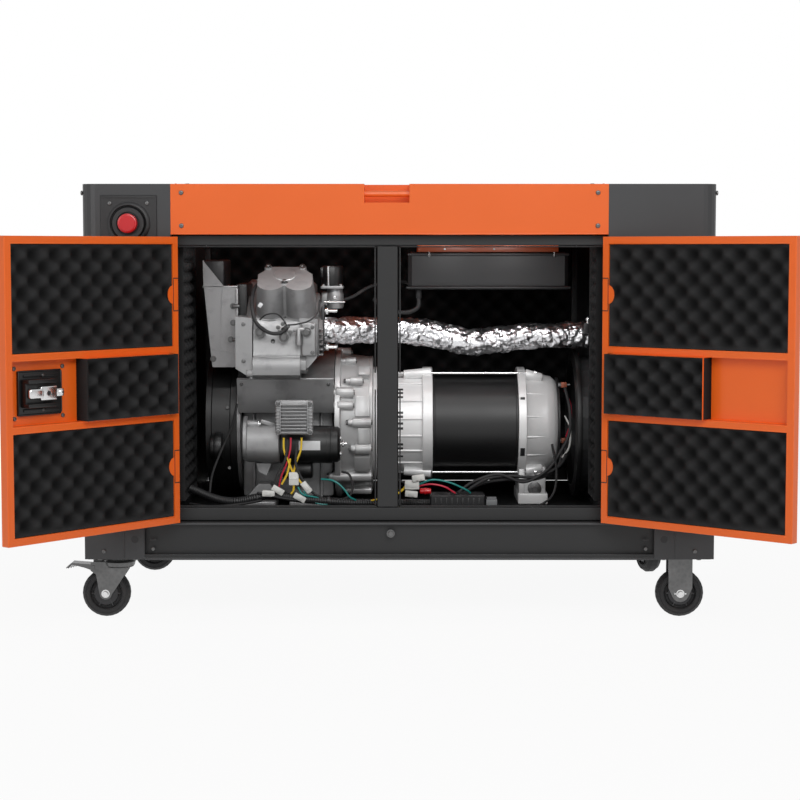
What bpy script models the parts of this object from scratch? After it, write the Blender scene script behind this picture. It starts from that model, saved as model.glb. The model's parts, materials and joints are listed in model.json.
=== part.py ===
"""An engine driven welder: a V-twin engine and an alternator in a sound-proofed canopy on four casters.

Metres, +Z up, +X along the canopy to the right, +Y from the two front doors to the rear panel.
Each piece is modelled in the canopy's own frame: x and y from the middle of the front skin, z from
the floor. The last step slides the whole machine so that the origin is under the middle of its box.
"""

import math

import bmesh
import bpy
from mathutils import Matrix, Vector

# Canopy
LENGTH = 1.300
DEPTH = 0.740
HEIGHT = 0.903
WHEEL_RADIUS = 0.050
BASE_ABOVE_WHEEL = 0.030
BASE_HEIGHT = 0.078
LEFT_COWL = 0.183
RIGHT_COWL = 0.223
ROOF_SKIRT = 0.103
COWL_RADIUS = 0.030
SHEET = 0.002
BASE_BEAM = 0.125
BASE_SIDE_BEAM = 0.045
BASE_DECK = 0.004
BASE_RECESS = 0.012
BASE_FLANGE = 0.011
TIE_HOLE = 0.0125
SEAT = 0.0003

# Door frame and doors
FRAME_SET_BACK = 0.022
SILL_TOP = 0.236
SILL_DEPTH = 0.028
RAIL_HEIGHT = 0.0217
RAIL_DEPTH = 0.030
POST_WIDTH = 0.044
POST_DEPTH = 0.038
POST_OFFSET = -0.0044
DOOR_THICKNESS = 0.020
DOOR_SKIN = 0.0015
DOOR_LIP = 0.015
DOOR_RIB = 0.014
DOOR_GAP = 0.003
DOOR_EDGE = 0.003
DOOR_FOOT = 0.0028
DOOR_HEAD = 0.0045
MIDDLE_BAY = 0.123
MIDDLE_BAY_SHIFT = -0.005
PIN_OUT = 0.0055
PIN_RADIUS = 0.0025
BARREL_RADIUS = 0.005
HINGE_HEIGHT = 0.060
HINGE_LEAF = 0.030
HINGE_INSET = 0.117
LEFT_DOOR_OPEN = 130.0
RIGHT_DOOR_OPEN = 139.0
PAD_GAP = 0.001
PAD_TOP = 0.0185
BLOCK_TOP = 0.036

# Latch on the left door, measured from the door's free edge
LATCH_LENGTH = 0.128
LATCH_HEIGHT = 0.086
LATCH_EDGE = 0.032
LATCH_TOP = 0.0235
BOLT_HEIGHT = 0.027
BOLT_THICKNESS = 0.011
BOLT_LENGTH = 0.098
BOLT_NOSE = 0.048
BOLT_TRAVEL = 0.036
BOLT_RUNNING = 0.0008
HANDLE_RADIUS = 0.024
HANDLE_PLATE = 0.003
GRIP_LENGTH = 0.082
GRIP_WIDTH = 0.013
GRIP_HEIGHT = 0.016

# Engine and alternator, from the bay's left wall along the crankshaft
ENGINE_SETBACK = 0.114
AXIS_Y = 0.360
AXIS_ABOVE_BASE = 0.175
CASE_LENGTH = 0.212
CASE_DROP = 0.148
COVER_LENGTH = 0.0823
COVER_RADIUS = 0.165
COVER_TAPER = 0.020
CYLINDER_TILT = 30.0
CYLINDER_LENGTH = 0.150
CYLINDER_WIDTH = 0.163
CYLINDER_DEPTH = 0.150
CYLINDER_OFFSET = 0.0835
DECK_HEIGHT = 0.150
VALVE_COVER_OFFSET = 0.0215
VALVE_COVER = 0.064
BLOWER_WIDTH = 0.0765
BLOWER_HEIGHT = 0.2357
SHAFT_RADIUS = 0.016
SHAFT_CLEARANCE = 0.0008
DUCT_RADIUS = 0.150
DUCT_WALL = 0.010
DUCT_LENGTH = 0.067
DUCT_BACK = 0.010
FAN_BLADES = 14
FAN_WIDTH = 0.040
HUB_RADIUS = 0.032
STATOR_RADIUS = 0.1125
STATOR_BORE = 0.088
STATOR_LENGTH = 0.187
BRACKET_LENGTH = 0.1314
BRACKET_RING = 0.0205
BRACKET_RADIUS = 0.1248
BRACKET_BORE = 0.070
AIR_GAP = 0.002
BELL_LENGTH = 0.074
STARTER_NOSE = 0.052
STARTER_BODY = 0.040
STARTER_DROP = 0.028
PORT_Y = 0.235
PORT_RISE = 0.211
PIPE_RADIUS = 0.029
PIPE_Y = 0.300
PIPE_RISE = 0.200
MUFFLER_RADIUS = 0.060
MUFFLER_OFFSET = 0.113
MUFFLER_FRONT = 0.120
MUFFLER_LENGTH = 0.480
TAIL_Y = 0.500
TAIL_RADIUS = 0.020
COLLAR_RADIUS = 0.150
REGULATOR_Y = 0.088
MODULE_Y = 0.100
BATTERY_HEIGHT = 0.165
LOOM_RADIUS = 0.009
LOOM_SOCKET_Y = 0.130

# Lifting pockets and the fuel tank under the roof
NOTCH_WIDTH = 0.092
NOTCH_DEPTH = 0.060
NOTCH_HEIGHT = 0.038
NOTCH_OFFSET = -0.0056
LIFT_BAR_RADIUS = 0.006
LIFT_BAR_INSET = 0.016
LIFT_BAR_DROP = 0.020
TANK_OFFSET = 0.039
TANK_LENGTH = 0.348
TANK_FRONT = 0.250
TANK_DEPTH = 0.370
TANK_DROP = 0.139
TANK_HEIGHT = 0.081
TANK_LIP = 0.010
FILLER_OFFSET = (0.231, 0.310)
CAP_RADIUS = 0.030
CAP_HEIGHT = 0.014
NECK_RADIUS = 0.022

# Casters
WHEEL_WIDTH = 0.030
WHEEL_BORE = 0.0063
AXLE_RADIUS = 0.006
TRAIL = 0.027
CASTER_INSET = 0.061
CASTER_Y = 0.075
FORK_GAP = 0.036
FORK_PLATE = 0.003
PLATE_LENGTH = 0.095
PLATE_WIDTH = 0.070
PLATE_THICKNESS = 0.004
RACE_RADIUS = 0.030
RACE_HEIGHT = 0.009
CROWN_HEIGHT = 0.008
KINGPIN_RADIUS = 0.007
PEDAL_REACH = 0.052
PEDAL_LENGTH = 0.058
REAR_CASTER_TURN = 105.0

# Emergency stop and controls
STOP_INSET = 0.098
STOP_DROP = 0.0805
STOP_PLATE = 0.115
STOP_CUP = 0.036
BUTTON_RADIUS = 0.020
BUTTON_TRAVEL = 0.006
STEM_RADIUS = 0.010
PANEL_Y = 0.230
PANEL_DROP = 0.203
PANEL_WIDTH = 0.300
PANEL_HEIGHT = 0.240
SOCKET_RADIUS = 0.024
SOCKET_BORE = 0.008
SOCKET_SPREAD = 0.085
SOCKET_RISE = 0.050
DIAL_SPREAD = 0.080
DIAL_DROP = 0.060

COLOURS = {
    "orange_paint": ((0.80, 0.13, 0.02), 0.35, 0.0),
    "charcoal_paint": ((0.05, 0.052, 0.056), 0.45, 0.0),
    "acoustic_foam": ((0.02, 0.02, 0.022), 0.95, 0.0),
    "cast_alloy": ((0.45, 0.46, 0.47), 0.45, 0.8),
    "zinc_steel": ((0.60, 0.60, 0.60), 0.30, 1.0),
    "black_enamel": ((0.02, 0.02, 0.02), 0.30, 0.0),
    "black_plastic": ((0.03, 0.03, 0.03), 0.50, 0.0),
    "wheel_rubber": ((0.02, 0.02, 0.02), 0.60, 0.0),
    "foil": ((0.75, 0.75, 0.77), 0.25, 1.0),
    "red_plastic": ((0.65, 0.02, 0.03), 0.30, 0.0),
}

BAY_LEFT = -LENGTH / 2 + LEFT_COWL
BAY_RIGHT = LENGTH / 2 - RIGHT_COWL
BAY_MIDDLE = (BAY_LEFT + BAY_RIGHT) / 2
BASE_BOTTOM = 2 * WHEEL_RADIUS + BASE_ABOVE_WHEEL
BASE_TOP = BASE_BOTTOM + BASE_HEIGHT
DECK_Z = BASE_TOP + SEAT
ROOF_BOTTOM = HEIGHT - ROOF_SKIRT
RAIL_BOTTOM = ROOF_BOTTOM - SEAT - RAIL_HEIGHT
DOOR_LOW = BASE_TOP + DOOR_FOOT
DOOR_HIGH = ROOF_BOTTOM - DOOR_HEAD
DOOR_WIDTH = (BAY_RIGHT - BAY_LEFT - DOOR_GAP) / 2 - DOOR_EDGE
BLOCK_Z = (DOOR_LOW + DOOR_HIGH) / 2 + MIDDLE_BAY_SHIFT
HINGE_HEIGHTS = (DOOR_LOW + HINGE_INSET, DOOR_HIGH - HINGE_INSET)
CASTER_X = LENGTH / 2 - CASTER_INSET
STOP_X = STOP_INSET - LENGTH / 2
STOP_Z = HEIGHT - STOP_DROP
PANEL_Z = HEIGHT - PANEL_DROP
NOTCH_X = BAY_MIDDLE + NOTCH_OFFSET
AXIS_Z = BASE_TOP + AXIS_ABOVE_BASE
CASE_LEFT = BAY_LEFT + ENGINE_SETBACK
CASE_RIGHT = CASE_LEFT + CASE_LENGTH
CASE_BOTTOM = AXIS_Z - CASE_DROP
COVER_RIGHT = CASE_RIGHT + COVER_LENGTH
CYLINDER_X = CASE_LEFT + CYLINDER_OFFSET
CYLINDER_RIGHT = CYLINDER_X + CYLINDER_WIDTH / 2 + SEAT
VALVE_COVER_X = CYLINDER_X + VALVE_COVER_OFFSET
STATOR_LEFT = COVER_RIGHT + BRACKET_LENGTH + 2 * SEAT
STATOR_RIGHT = STATOR_LEFT + STATOR_LENGTH
PIPE_Z = AXIS_Z + PIPE_RISE
TANK_LEFT = BAY_MIDDLE + TANK_OFFSET
TANK_RIGHT = TANK_LEFT + TANK_LENGTH
TANK_REAR = TANK_FRONT + TANK_DEPTH
TANK_TOP = HEIGHT - TANK_DROP
TANK_BOTTOM = TANK_TOP - TANK_HEIGHT
FILLER_X = TANK_LEFT + FILLER_OFFSET[0]
FILLER_Y = TANK_FRONT + FILLER_OFFSET[1]


def clear_scene():
    for scene_object in list(bpy.data.objects):
        bpy.data.objects.remove(scene_object)


def collection(name):
    made = bpy.data.collections.new(name)
    bpy.context.scene.collection.children.link(made)
    return made


def material(name):
    found = bpy.data.materials.get(name)
    if found:
        return found
    colour, roughness, metallic = COLOURS[name]
    made = bpy.data.materials.new(name)
    made.use_nodes = True
    shader = made.node_tree.nodes["Principled BSDF"]
    shader.inputs["Base Color"].default_value = (*colour, 1.0)
    shader.inputs["Roughness"].default_value = roughness
    shader.inputs["Metallic"].default_value = metallic
    return made


clear_scene()
PARTS = collection("engine_driven_welder")
CUTTERS = collection("cutters")
MACHINE = bpy.data.objects.new("machine", None)
PARTS.objects.link(MACHINE)


def placed(name, mesh, finish, parent):
    """A mesh as an object: a node where it has a finish, otherwise a hidden helper for a Boolean."""
    made = bpy.data.objects.new(name, mesh)
    made.parent = parent or MACHINE
    if finish:
        PARTS.objects.link(made)
        mesh.materials.append(material(finish))
    else:
        CUTTERS.objects.link(made)
        made.hide_render = True
        made.display_type = "WIRE"
    return made


def pivot(name, place, turn=0.0):
    """An empty on a joint's axis, turned about Z by degrees."""
    made = bpy.data.objects.new(name, None)
    made.parent = MACHINE
    made.location = place
    made.rotation_euler.z = math.radians(turn)
    PARTS.objects.link(made)
    return made


def bevelled(made, width, angle=40.0, segments=1):
    bevel = made.modifiers.new("edges", "BEVEL")
    bevel.width = width
    bevel.segments = segments
    bevel.limit_method = "ANGLE"
    bevel.angle_limit = math.radians(angle)
    return made


def box(name, low, high, finish=None, parent=None, bevel=0.0):
    low, high = Vector(low), Vector(high)
    mesh = bpy.data.meshes.new(name)
    shape = bmesh.new()
    bmesh.ops.create_cube(shape, size=1.0, matrix=Matrix.Diagonal((*(high - low), 1.0)))
    shape.to_mesh(mesh)
    shape.free()
    made = placed(name, mesh, finish, parent)
    made.location = (low + high) / 2
    return bevelled(made, bevel) if bevel else made


def facing(axis):
    """The rotation that turns +Z to the axis."""
    return Vector((0, 0, 1)).rotation_difference(Vector(axis)).to_euler()


def rod(name, start, axis, radius, length, finish=None, parent=None, sides=20, end_radius=None):
    """A cylinder or cone that starts at a point and runs along an axis."""
    mesh = bpy.data.meshes.new(name)
    shape = bmesh.new()
    bmesh.ops.create_cone(
        shape,
        cap_ends=True,
        segments=sides,
        radius1=radius,
        radius2=radius if end_radius is None else end_radius,
        depth=length,
        matrix=Matrix.Translation((0, 0, length / 2)),
    )
    shape.to_mesh(mesh)
    shape.free()
    mesh.shade_smooth()
    mesh.set_sharp_from_angle(angle=math.radians(40))
    made = placed(name, mesh, finish, parent)
    made.location = start
    made.rotation_euler = facing(axis)
    return made


def turned(name, profile, start, axis, finish=None, parent=None, steps=24):
    """A profile of (radius, height) turned about an axis. It goes round clockwise, its outer side downwards."""
    mesh = bpy.data.meshes.new(name)
    shape = bmesh.new()
    points = [shape.verts.new((radius, 0, height)) for radius, height in profile]
    closed = profile[0][0] > 0
    for first, second in zip(points, points[1:] + points[:1] if closed else points[1:]):
        shape.edges.new((first, second))
    shape.to_mesh(mesh)
    shape.free()
    made = placed(name, mesh, finish, parent)
    made.location = start
    made.rotation_euler = facing(axis)
    screw = made.modifiers.new("turn", "SCREW")
    screw.steps = steps
    screw.render_steps = steps
    screw.use_merge_vertices = True
    screw.merge_threshold = 0.00001
    screw.use_smooth_shade = False
    return made


def ring(name, start, axis, outer, inner, length, finish=None, parent=None, steps=24):
    profile = [(inner, length), (outer, length), (outer, 0), (inner, 0)]
    return turned(name, profile, start, axis, finish, parent, steps)


def prism(name, outline, start, length, axes, finish=None, parent=None, bevel=0.0):
    """An outline on two of the axes X, Y and Z, drawn out from start along the third."""
    mesh = bpy.data.meshes.new(name)
    shape = bmesh.new()
    across, up = ("XYZ".index(letter) for letter in axes)
    along = 3 - across - up
    corners = []
    for a, b in outline:
        point = [0.0, 0.0, 0.0]
        point[across], point[up], point[along] = a, b, start
        corners.append(shape.verts.new(point))
    face = shape.faces.new(corners)
    grown = bmesh.ops.extrude_face_region(shape, geom=[face])
    step = Vector([length if index == along else 0.0 for index in range(3)])
    moved = [item for item in grown["geom"] if isinstance(item, bmesh.types.BMVert)]
    bmesh.ops.translate(shape, vec=step, verts=moved)
    bmesh.ops.recalc_face_normals(shape, faces=shape.faces)
    shape.to_mesh(mesh)
    shape.free()
    made = placed(name, mesh, finish, parent)
    return bevelled(made, bevel) if bevel else made


def arc(centre, radius, first, last, count):
    """Points on an arc from one angle to another, in degrees."""
    angles = [math.radians(first + (last - first) * step / count) for step in range(count + 1)]
    return [(centre[0] + radius * math.cos(a), centre[1] + radius * math.sin(a)) for a in angles]


def changed(target, operation, others):
    for other in others:
        boolean = target.modifiers.new(f"{operation.lower()}_{other.name}", "BOOLEAN")
        boolean.operation = operation
        boolean.object = other
    return target


def cut(target, *others):
    return changed(target, "DIFFERENCE", others)


def join(target, *others):
    return changed(target, "UNION", others)


def tube(name, route, radius, finish, sides=3, spacing=0.012):
    """A tube along a smooth curve through the route's points, resampled to a POLY spline."""
    points = [Vector(point) for point in route]
    ends = [points[0] * 2 - points[1], *points, points[-1] * 2 - points[-2]]
    line = []
    for before, here, after, beyond in zip(ends, ends[1:], ends[2:], ends[3:]):
        count = max(2, round((after - here).length / spacing))
        for step in range(count):
            t = step / count
            pull = (after - before) * t + (before * 2 - here * 5 + after * 4 - beyond) * t**2
            line.append(here + (pull + (here * 3 - before - after * 3 + beyond) * t**3) / 2)
    line.append(points[-1])
    curve = bpy.data.curves.new(name, "CURVE")
    curve.dimensions = "3D"
    curve.bevel_depth = radius
    curve.bevel_resolution = sides
    curve.use_fill_caps = True
    spline = curve.splines.new("POLY")
    spline.points.add(len(line) - 1)
    for control, point in zip(spline.points, line):
        control.co = (*point, 1.0)
    curve.materials.append(material(finish))
    made = bpy.data.objects.new(name, curve)
    made.parent = MACHINE
    PARTS.objects.link(made)
    return made


def as_mesh(curve_object, finish):
    """The curve's own solid as a mesh object, so that it can take a Boolean."""
    bpy.context.view_layer.update()
    graph = bpy.context.evaluated_depsgraph_get()
    mesh = bpy.data.meshes.new_from_object(curve_object.evaluated_get(graph))
    shape = bmesh.new()
    shape.from_mesh(mesh)
    bmesh.ops.remove_doubles(shape, verts=shape.verts, dist=0.00001)
    shape.to_mesh(mesh)
    shape.free()
    name, place = curve_object.name, curve_object.matrix_world.copy()
    bpy.data.objects.remove(curve_object)
    mesh.materials.clear()
    made = placed(name, mesh, finish, None)
    made.matrix_world = place
    return made


# Base and door frame


def base_frame():
    half = LENGTH / 2
    base = box(
        "base_frame", (-half, 0, BASE_BOTTOM), (half, DEPTH, BASE_TOP), "charcoal_paint", bevel=0.006
    )
    pocket = box(
        "base_pocket",
        (-half + BASE_BEAM, BASE_SIDE_BEAM, BASE_BOTTOM - 0.01),
        (half - BASE_BEAM, DEPTH - BASE_SIDE_BEAM, BASE_TOP - BASE_DECK),
    )
    recesses = [
        box(
            f"base_recess_{side}",
            (-half + BASE_BEAM, low, BASE_BOTTOM + BASE_FLANGE),
            (half - BASE_BEAM, high, BASE_TOP - BASE_DECK),
        )
        for side, low, high in (
            ("front", -0.01, BASE_RECESS),
            ("rear", DEPTH - BASE_RECESS, DEPTH + 0.01),
        )
    ]
    holes = [
        rod(f"tie_hole_{side}", (x, -0.01, BASE_BOTTOM + 0.044), (0, 1, 0), TIE_HOLE, 0.05)
        for side, x in (("left", -half + 0.104), ("right", half - 0.104))
    ]
    return cut(base, pocket, *recesses, *holes)


def door_frame():
    front = FRAME_SET_BACK
    low, high = BAY_LEFT + SEAT, BAY_RIGHT - SEAT
    box(
        "sill",
        (low, front, DECK_Z),
        (high, front + SILL_DEPTH, SILL_TOP),
        "charcoal_paint",
        bevel=0.002,
    )
    box(
        "upper_rail",
        (low, front, RAIL_BOTTOM),
        (high, front + RAIL_DEPTH, RAIL_BOTTOM + RAIL_HEIGHT),
        "charcoal_paint",
        bevel=0.002,
    )
    middle = BAY_MIDDLE + POST_OFFSET
    post = box(
        "centre_post",
        (middle - POST_WIDTH / 2, front, SILL_TOP + SEAT),
        (middle + POST_WIDTH / 2, front + POST_DEPTH, RAIL_BOTTOM - SEAT),
        "charcoal_paint",
        bevel=0.002,
    )
    # The keeper slot lets the door's bolt in from the left.
    free_edge = BAY_MIDDLE - DOOR_GAP / 2
    reach = free_edge - BOLT_NOSE + BOLT_TRAVEL + 0.004
    keeper = box(
        "keeper_slot",
        (middle - POST_WIDTH, bolt_low() - 0.002 - PIN_OUT, BLOCK_Z - BOLT_HEIGHT / 2 - 0.003),
        (reach, bolt_low() + BOLT_THICKNESS + 0.002 - PIN_OUT, BLOCK_Z + BOLT_HEIGHT / 2 + 0.003),
    )
    cut(post, keeper)


def bolt_low():
    """The bolt's near face, from the hinge pin inwards."""
    return PIN_OUT + LATCH_TOP + BOLT_RUNNING


# Canopy covers


def sheet_cover(name, low, high, finish, corner_edges, radius):
    """A box of sheet that is open below, with chosen upright edges rounded."""
    low, high = Vector(low), Vector(high)
    mesh = bpy.data.meshes.new(name)
    shape = bmesh.new()
    bmesh.ops.create_cube(shape, size=1.0, matrix=Matrix.Diagonal((*(high - low), 1.0)))
    bottom = [face for face in shape.faces if face.normal.z < -0.5]
    bmesh.ops.delete(shape, geom=bottom, context="FACES_ONLY")
    upright = [
        edge
        for edge in shape.edges
        if abs(edge.verts[0].co.z - edge.verts[1].co.z) > 0.01
        and corner_edges * edge.verts[0].co.x > 0
    ]
    if corner_edges:
        bmesh.ops.bevel(shape, geom=upright, offset=radius, segments=5, affect="EDGES", profile=0.5)
    shape.to_mesh(mesh)
    shape.free()
    made = placed(name, mesh, finish, None)
    made.location = (low + high) / 2
    solidify = made.modifiers.new("sheet", "SOLIDIFY")
    solidify.thickness = SHEET
    solidify.offset = -1.0
    solidify.use_even_offset = True
    return made


def hinge_barrel(name, x, z, parent, knuckles, leaf_way, leaf_out):
    """Knuckles on the hinge pin and the leaf that carries them, as shapes to join to a cover or door."""
    pieces = []
    third = HINGE_HEIGHT / 3
    for index in knuckles:
        low = z - HINGE_HEIGHT / 2 + index * third + (0.0004 if index else 0)
        height = third - 0.0008
        barrel = rod(
            f"{name}_barrel_{index}", (x, leaf_out[2], low), (0, 0, 1), BARREL_RADIUS, height,
            parent=parent, sides=16,
        )
        tongue = box(
            f"{name}_tongue_{index}",
            (min(x, x + leaf_way * HINGE_LEAF), leaf_out[0], low),
            (max(x, x + leaf_way * HINGE_LEAF), leaf_out[1], low + height),
            parent=parent,
        )
        pieces += [barrel, tongue]
    return pieces


def cowl_hinges(cowl, x, side):
    """The fixed halves of a door's two hinges, with their pins."""
    for number, z in enumerate(HINGE_HEIGHTS):
        name = f"{cowl.name}_hinge_{number}"
        pieces = hinge_barrel(name, x, z, None, (1,), -side, (-0.002, SHEET / 2, -PIN_OUT))
        third = HINGE_HEIGHT / 3
        neck = box(
            f"{name}_neck",
            (min(x, x - side * 0.006), -PIN_OUT, z - third / 2 + 0.0008),
            (max(x, x - side * 0.006), SHEET / 2, z + third / 2 - 0.0008),
        )
        pin = rod(
            f"{name}_pin", (x, -PIN_OUT, z - HINGE_HEIGHT / 2 - 0.001), (0, 0, 1), PIN_RADIUS,
            HINGE_HEIGHT + 0.002, sides=12,
        )
        join(cowl, *pieces, neck, pin)


def louvre_slots(name, x, low_y, high_y, low_z, count, pitch, height):
    return [
        box(
            f"{name}_{index}",
            (x - 0.02, low_y, low_z + index * pitch),
            (x + 0.02, high_y, low_z + index * pitch + height),
        )
        for index in range(count)
    ]


def cowls():
    half = LENGTH / 2
    left = sheet_cover(
        "left_cowl", (-half, 0, DECK_Z), (BAY_LEFT, DEPTH, HEIGHT), "charcoal_paint", -1, COWL_RADIUS
    )
    stop_hole = rod("stop_hole", (STOP_X, -0.01, STOP_Z), (0, 1, 0), STEM_RADIUS + 0.008, 0.03)
    socket_holes = [
        rod(
            f"socket_hole_{number}", (-half - 0.01, y, socket_height()), (1, 0, 0),
            SOCKET_RADIUS + 0.002, 0.02,
        )
        for number, y in enumerate(socket_places())
    ]
    intake_hole = rod(
        "intake_hole", (BAY_LEFT - 0.02, AXIS_Y, AXIS_Z), (1, 0, 0), DUCT_RADIUS - 0.02, 0.04
    )
    cut(left, stop_hole, *socket_holes, intake_hole)
    cut(left, *louvre_slots("intake_slot", -half, 0.09, DEPTH - 0.09, 0.27, 6, 0.045, 0.020))
    cowl_hinges(left, left_pin_x(), 1)

    right = sheet_cover(
        "right_cowl", (BAY_RIGHT, 0, DECK_Z), (half, DEPTH, HEIGHT), "charcoal_paint", 1, COWL_RADIUS
    )
    collar = rod(
        "duct_collar", (BAY_RIGHT - 0.035, AXIS_Y, AXIS_Z), (1, 0, 0), COLLAR_RADIUS, 0.036, sides=40
    )
    collar_bore = rod(
        "duct_bore", (BAY_RIGHT - 0.05, AXIS_Y, AXIS_Z), (1, 0, 0), COLLAR_RADIUS - 0.004, 0.08,
        sides=28,
    )
    pipe_hole = rod(
        "pipe_hole", (BAY_RIGHT - 0.02, PIPE_Y, PIPE_Z), (1, 0, 0), PIPE_RADIUS + 0.003, 0.04
    )
    tail_hole = rod(
        "tail_hole", (half - 0.02, TAIL_Y, PIPE_Z), (1, 0, 0), TAIL_RADIUS + 0.003, 0.04
    )
    join(right, collar)
    cut(right, collar_bore, pipe_hole, tail_hole)
    cut(right, *louvre_slots("outlet_slot", half, 0.09, DEPTH - 0.09, 0.27, 5, 0.045, 0.020))
    cowl_hinges(right, right_pin_x(), -1)


def socket_places():
    return PANEL_Y - SOCKET_SPREAD, PANEL_Y + SOCKET_SPREAD


def socket_height():
    return PANEL_Z - PANEL_HEIGHT / 2 + SOCKET_RISE


def left_pin_x():
    return BAY_LEFT + DOOR_EDGE / 6


def right_pin_x():
    return BAY_RIGHT - DOOR_EDGE / 6


def roof_cover():
    roof = sheet_cover(
        "roof_cover",
        (BAY_LEFT + SEAT, 0, ROOF_BOTTOM),
        (BAY_RIGHT - SEAT, DEPTH, HEIGHT),
        "orange_paint",
        0,
        0,
    )
    # Two hanger plates under the roof carry the fuel tank.
    for number, y in enumerate((TANK_FRONT + 0.004, TANK_REAR - 0.006)):
        hanger = box(
            f"tank_hanger_{number}",
            (TANK_LEFT + 0.022, y, TANK_TOP + SEAT),
            (TANK_RIGHT - 0.022, y + SHEET, HEIGHT - SHEET / 2),
        )
        join(roof, hanger)
    filler = rod(
        "filler_hole", (FILLER_X, FILLER_Y, HEIGHT - 0.02), (0, 0, 1), NECK_RADIUS + SEAT, 0.04
    )
    cut(roof, filler)
    # A pocket with a lifting bar opens at the middle of the front and rear edges.
    low_x, high_x = NOTCH_X - NOTCH_WIDTH / 2, NOTCH_X + NOTCH_WIDTH / 2
    for name, edge, inward in (("front", 0.0, 1), ("rear", DEPTH, -1)):
        ends = sorted((edge + inward * SHEET / 2, edge + inward * (NOTCH_DEPTH + SHEET)))
        void_ends = sorted((edge - inward * 0.01, edge + inward * NOTCH_DEPTH))
        liner = box(
            f"{name}_pocket",
            (low_x - SHEET, ends[0], HEIGHT - NOTCH_HEIGHT - SHEET),
            (high_x + SHEET, ends[1], HEIGHT - SHEET / 2),
        )
        void = box(
            f"{name}_notch",
            (low_x, void_ends[0], HEIGHT - NOTCH_HEIGHT),
            (high_x, void_ends[1], HEIGHT + 0.01),
        )
        bar = rod(
            f"{name}_lift_bar",
            (low_x - SHEET / 2, edge + inward * LIFT_BAR_INSET, HEIGHT - LIFT_BAR_DROP),
            (1, 0, 0),
            LIFT_BAR_RADIUS,
            NOTCH_WIDTH + SHEET,
            sides=12,
        )
        join(roof, liner)
        cut(roof, void)
        join(roof, bar)


def panels_and_foam():
    box(
        "rear_panel",
        (BAY_LEFT + SEAT, DEPTH - SHEET, DECK_Z),
        (BAY_RIGHT - SEAT, DEPTH, ROOF_BOTTOM - SEAT),
        "charcoal_paint",
    )
    foam = 0.020
    low, high = SILL_TOP + 0.009, RAIL_BOTTOM - 0.003
    left = BAY_LEFT + SEAT
    right = BAY_RIGHT - SEAT
    box(
        "left_wall_foam", (left, 0.060, low), (left + foam, 0.300, high), "acoustic_foam", bevel=0.004
    )
    box(
        "right_wall_foam",
        (right - foam, 0.060, low),
        (right, 0.200, high),
        "acoustic_foam",
        bevel=0.004,
    )
    rear = DEPTH - SHEET - SEAT
    box(
        "rear_wall_foam",
        (left + 0.006, rear - foam, low),
        (right - 0.006, rear, high),
        "acoustic_foam",
        bevel=0.004,
    )


# Fuel


def fuel_system():
    tank = box(
        "fuel_tank",
        (TANK_LEFT, TANK_FRONT, TANK_BOTTOM),
        (TANK_RIGHT, TANK_REAR, TANK_TOP),
        "black_plastic",
        bevel=0.008,
    )
    flange = box(
        "tank_flange",
        (TANK_LEFT - 0.004, TANK_FRONT - TANK_LIP, TANK_BOTTOM + 0.002),
        (TANK_RIGHT + 0.004, TANK_FRONT + 0.02, TANK_BOTTOM + 0.006),
    )
    neck = rod(
        "filler_neck",
        (FILLER_X, FILLER_Y, TANK_TOP - 0.01),
        (0, 0, 1),
        NECK_RADIUS,
        HEIGHT - TANK_TOP + 0.0105,
    )
    join(tank, flange, neck)
    top = HEIGHT + 0.0005 + SEAT
    rod(
        "fuel_cap", (FILLER_X, FILLER_Y, top), (0, 0, 1), CAP_RADIUS, CAP_HEIGHT, "black_plastic",
        sides=20, end_radius=CAP_RADIUS - 0.003,
    )


# Engine


def crankcase():
    sine, cosine = math.sin(math.radians(CYLINDER_TILT)), math.cos(math.radians(CYLINDER_TILT))
    half = CYLINDER_DEPTH / 2
    deck_y, deck_z = DECK_HEIGHT * sine, AXIS_Z + DECK_HEIGHT * cosine
    outer = (deck_y + half * cosine, deck_z - half * sine)
    inner = (deck_y - half * cosine, deck_z + half * sine)
    rear = [
        (AXIS_Y + outer[0], CASE_BOTTOM),
        (AXIS_Y + outer[0], outer[1]),
        (AXIS_Y + inner[0], inner[1]),
    ]
    front = [(2 * AXIS_Y - y, z) for y, z in reversed(rear)]
    case = prism(
        "crankcase", rear + front, CASE_LEFT, CASE_RIGHT - CASE_LEFT, "YZ", "cast_alloy"
    )
    feet = [
        box(
            f"crankcase_foot_{number}",
            (CASE_LEFT + 0.013, y - 0.035, DECK_Z),
            (CASE_RIGHT - 0.043, y + 0.035, CASE_BOTTOM + 0.004),
        )
        for number, y in enumerate((AXIS_Y - 0.115, AXIS_Y + 0.115))
    ]
    bore = rod(
        "crank_bore", (CASE_LEFT - 0.01, AXIS_Y, AXIS_Z), (1, 0, 0), SHAFT_RADIUS + SHAFT_CLEARANCE,
        CASE_RIGHT - CASE_LEFT + 0.02, sides=28,
    )
    join(case, *feet)
    cut(case, bore)

    cover = rod(
        "crankcase_cover", (CASE_RIGHT + SEAT, AXIS_Y, AXIS_Z), (1, 0, 0), COVER_RADIUS,
        COVER_LENGTH - SEAT, "cast_alloy", sides=28, end_radius=COVER_RADIUS - COVER_TAPER,
    )
    cut(
        cover,
        rod(
            "cover_bore", (CASE_RIGHT - 0.01, AXIS_Y, AXIS_Z), (1, 0, 0),
            SHAFT_RADIUS + SHAFT_CLEARANCE, COVER_RIGHT - CASE_RIGHT + 0.02, sides=28,
        ),
        box(
            "cover_heel",
            (CASE_RIGHT - 0.01, AXIS_Y - COVER_RADIUS - 0.01, 0.0),
            (COVER_RIGHT + 0.01, AXIS_Y + COVER_RADIUS + 0.01, DECK_Z + 0.0137),
        ),
    )


def cylinder_frame(name, lean):
    """An empty on the crank axis whose +Z runs up a cylinder that leans to the front or the rear."""
    made = pivot(name, (0, AXIS_Y, AXIS_Z))
    made.rotation_euler = (math.radians(CYLINDER_TILT) * lean, 0, 0)
    return made


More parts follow.
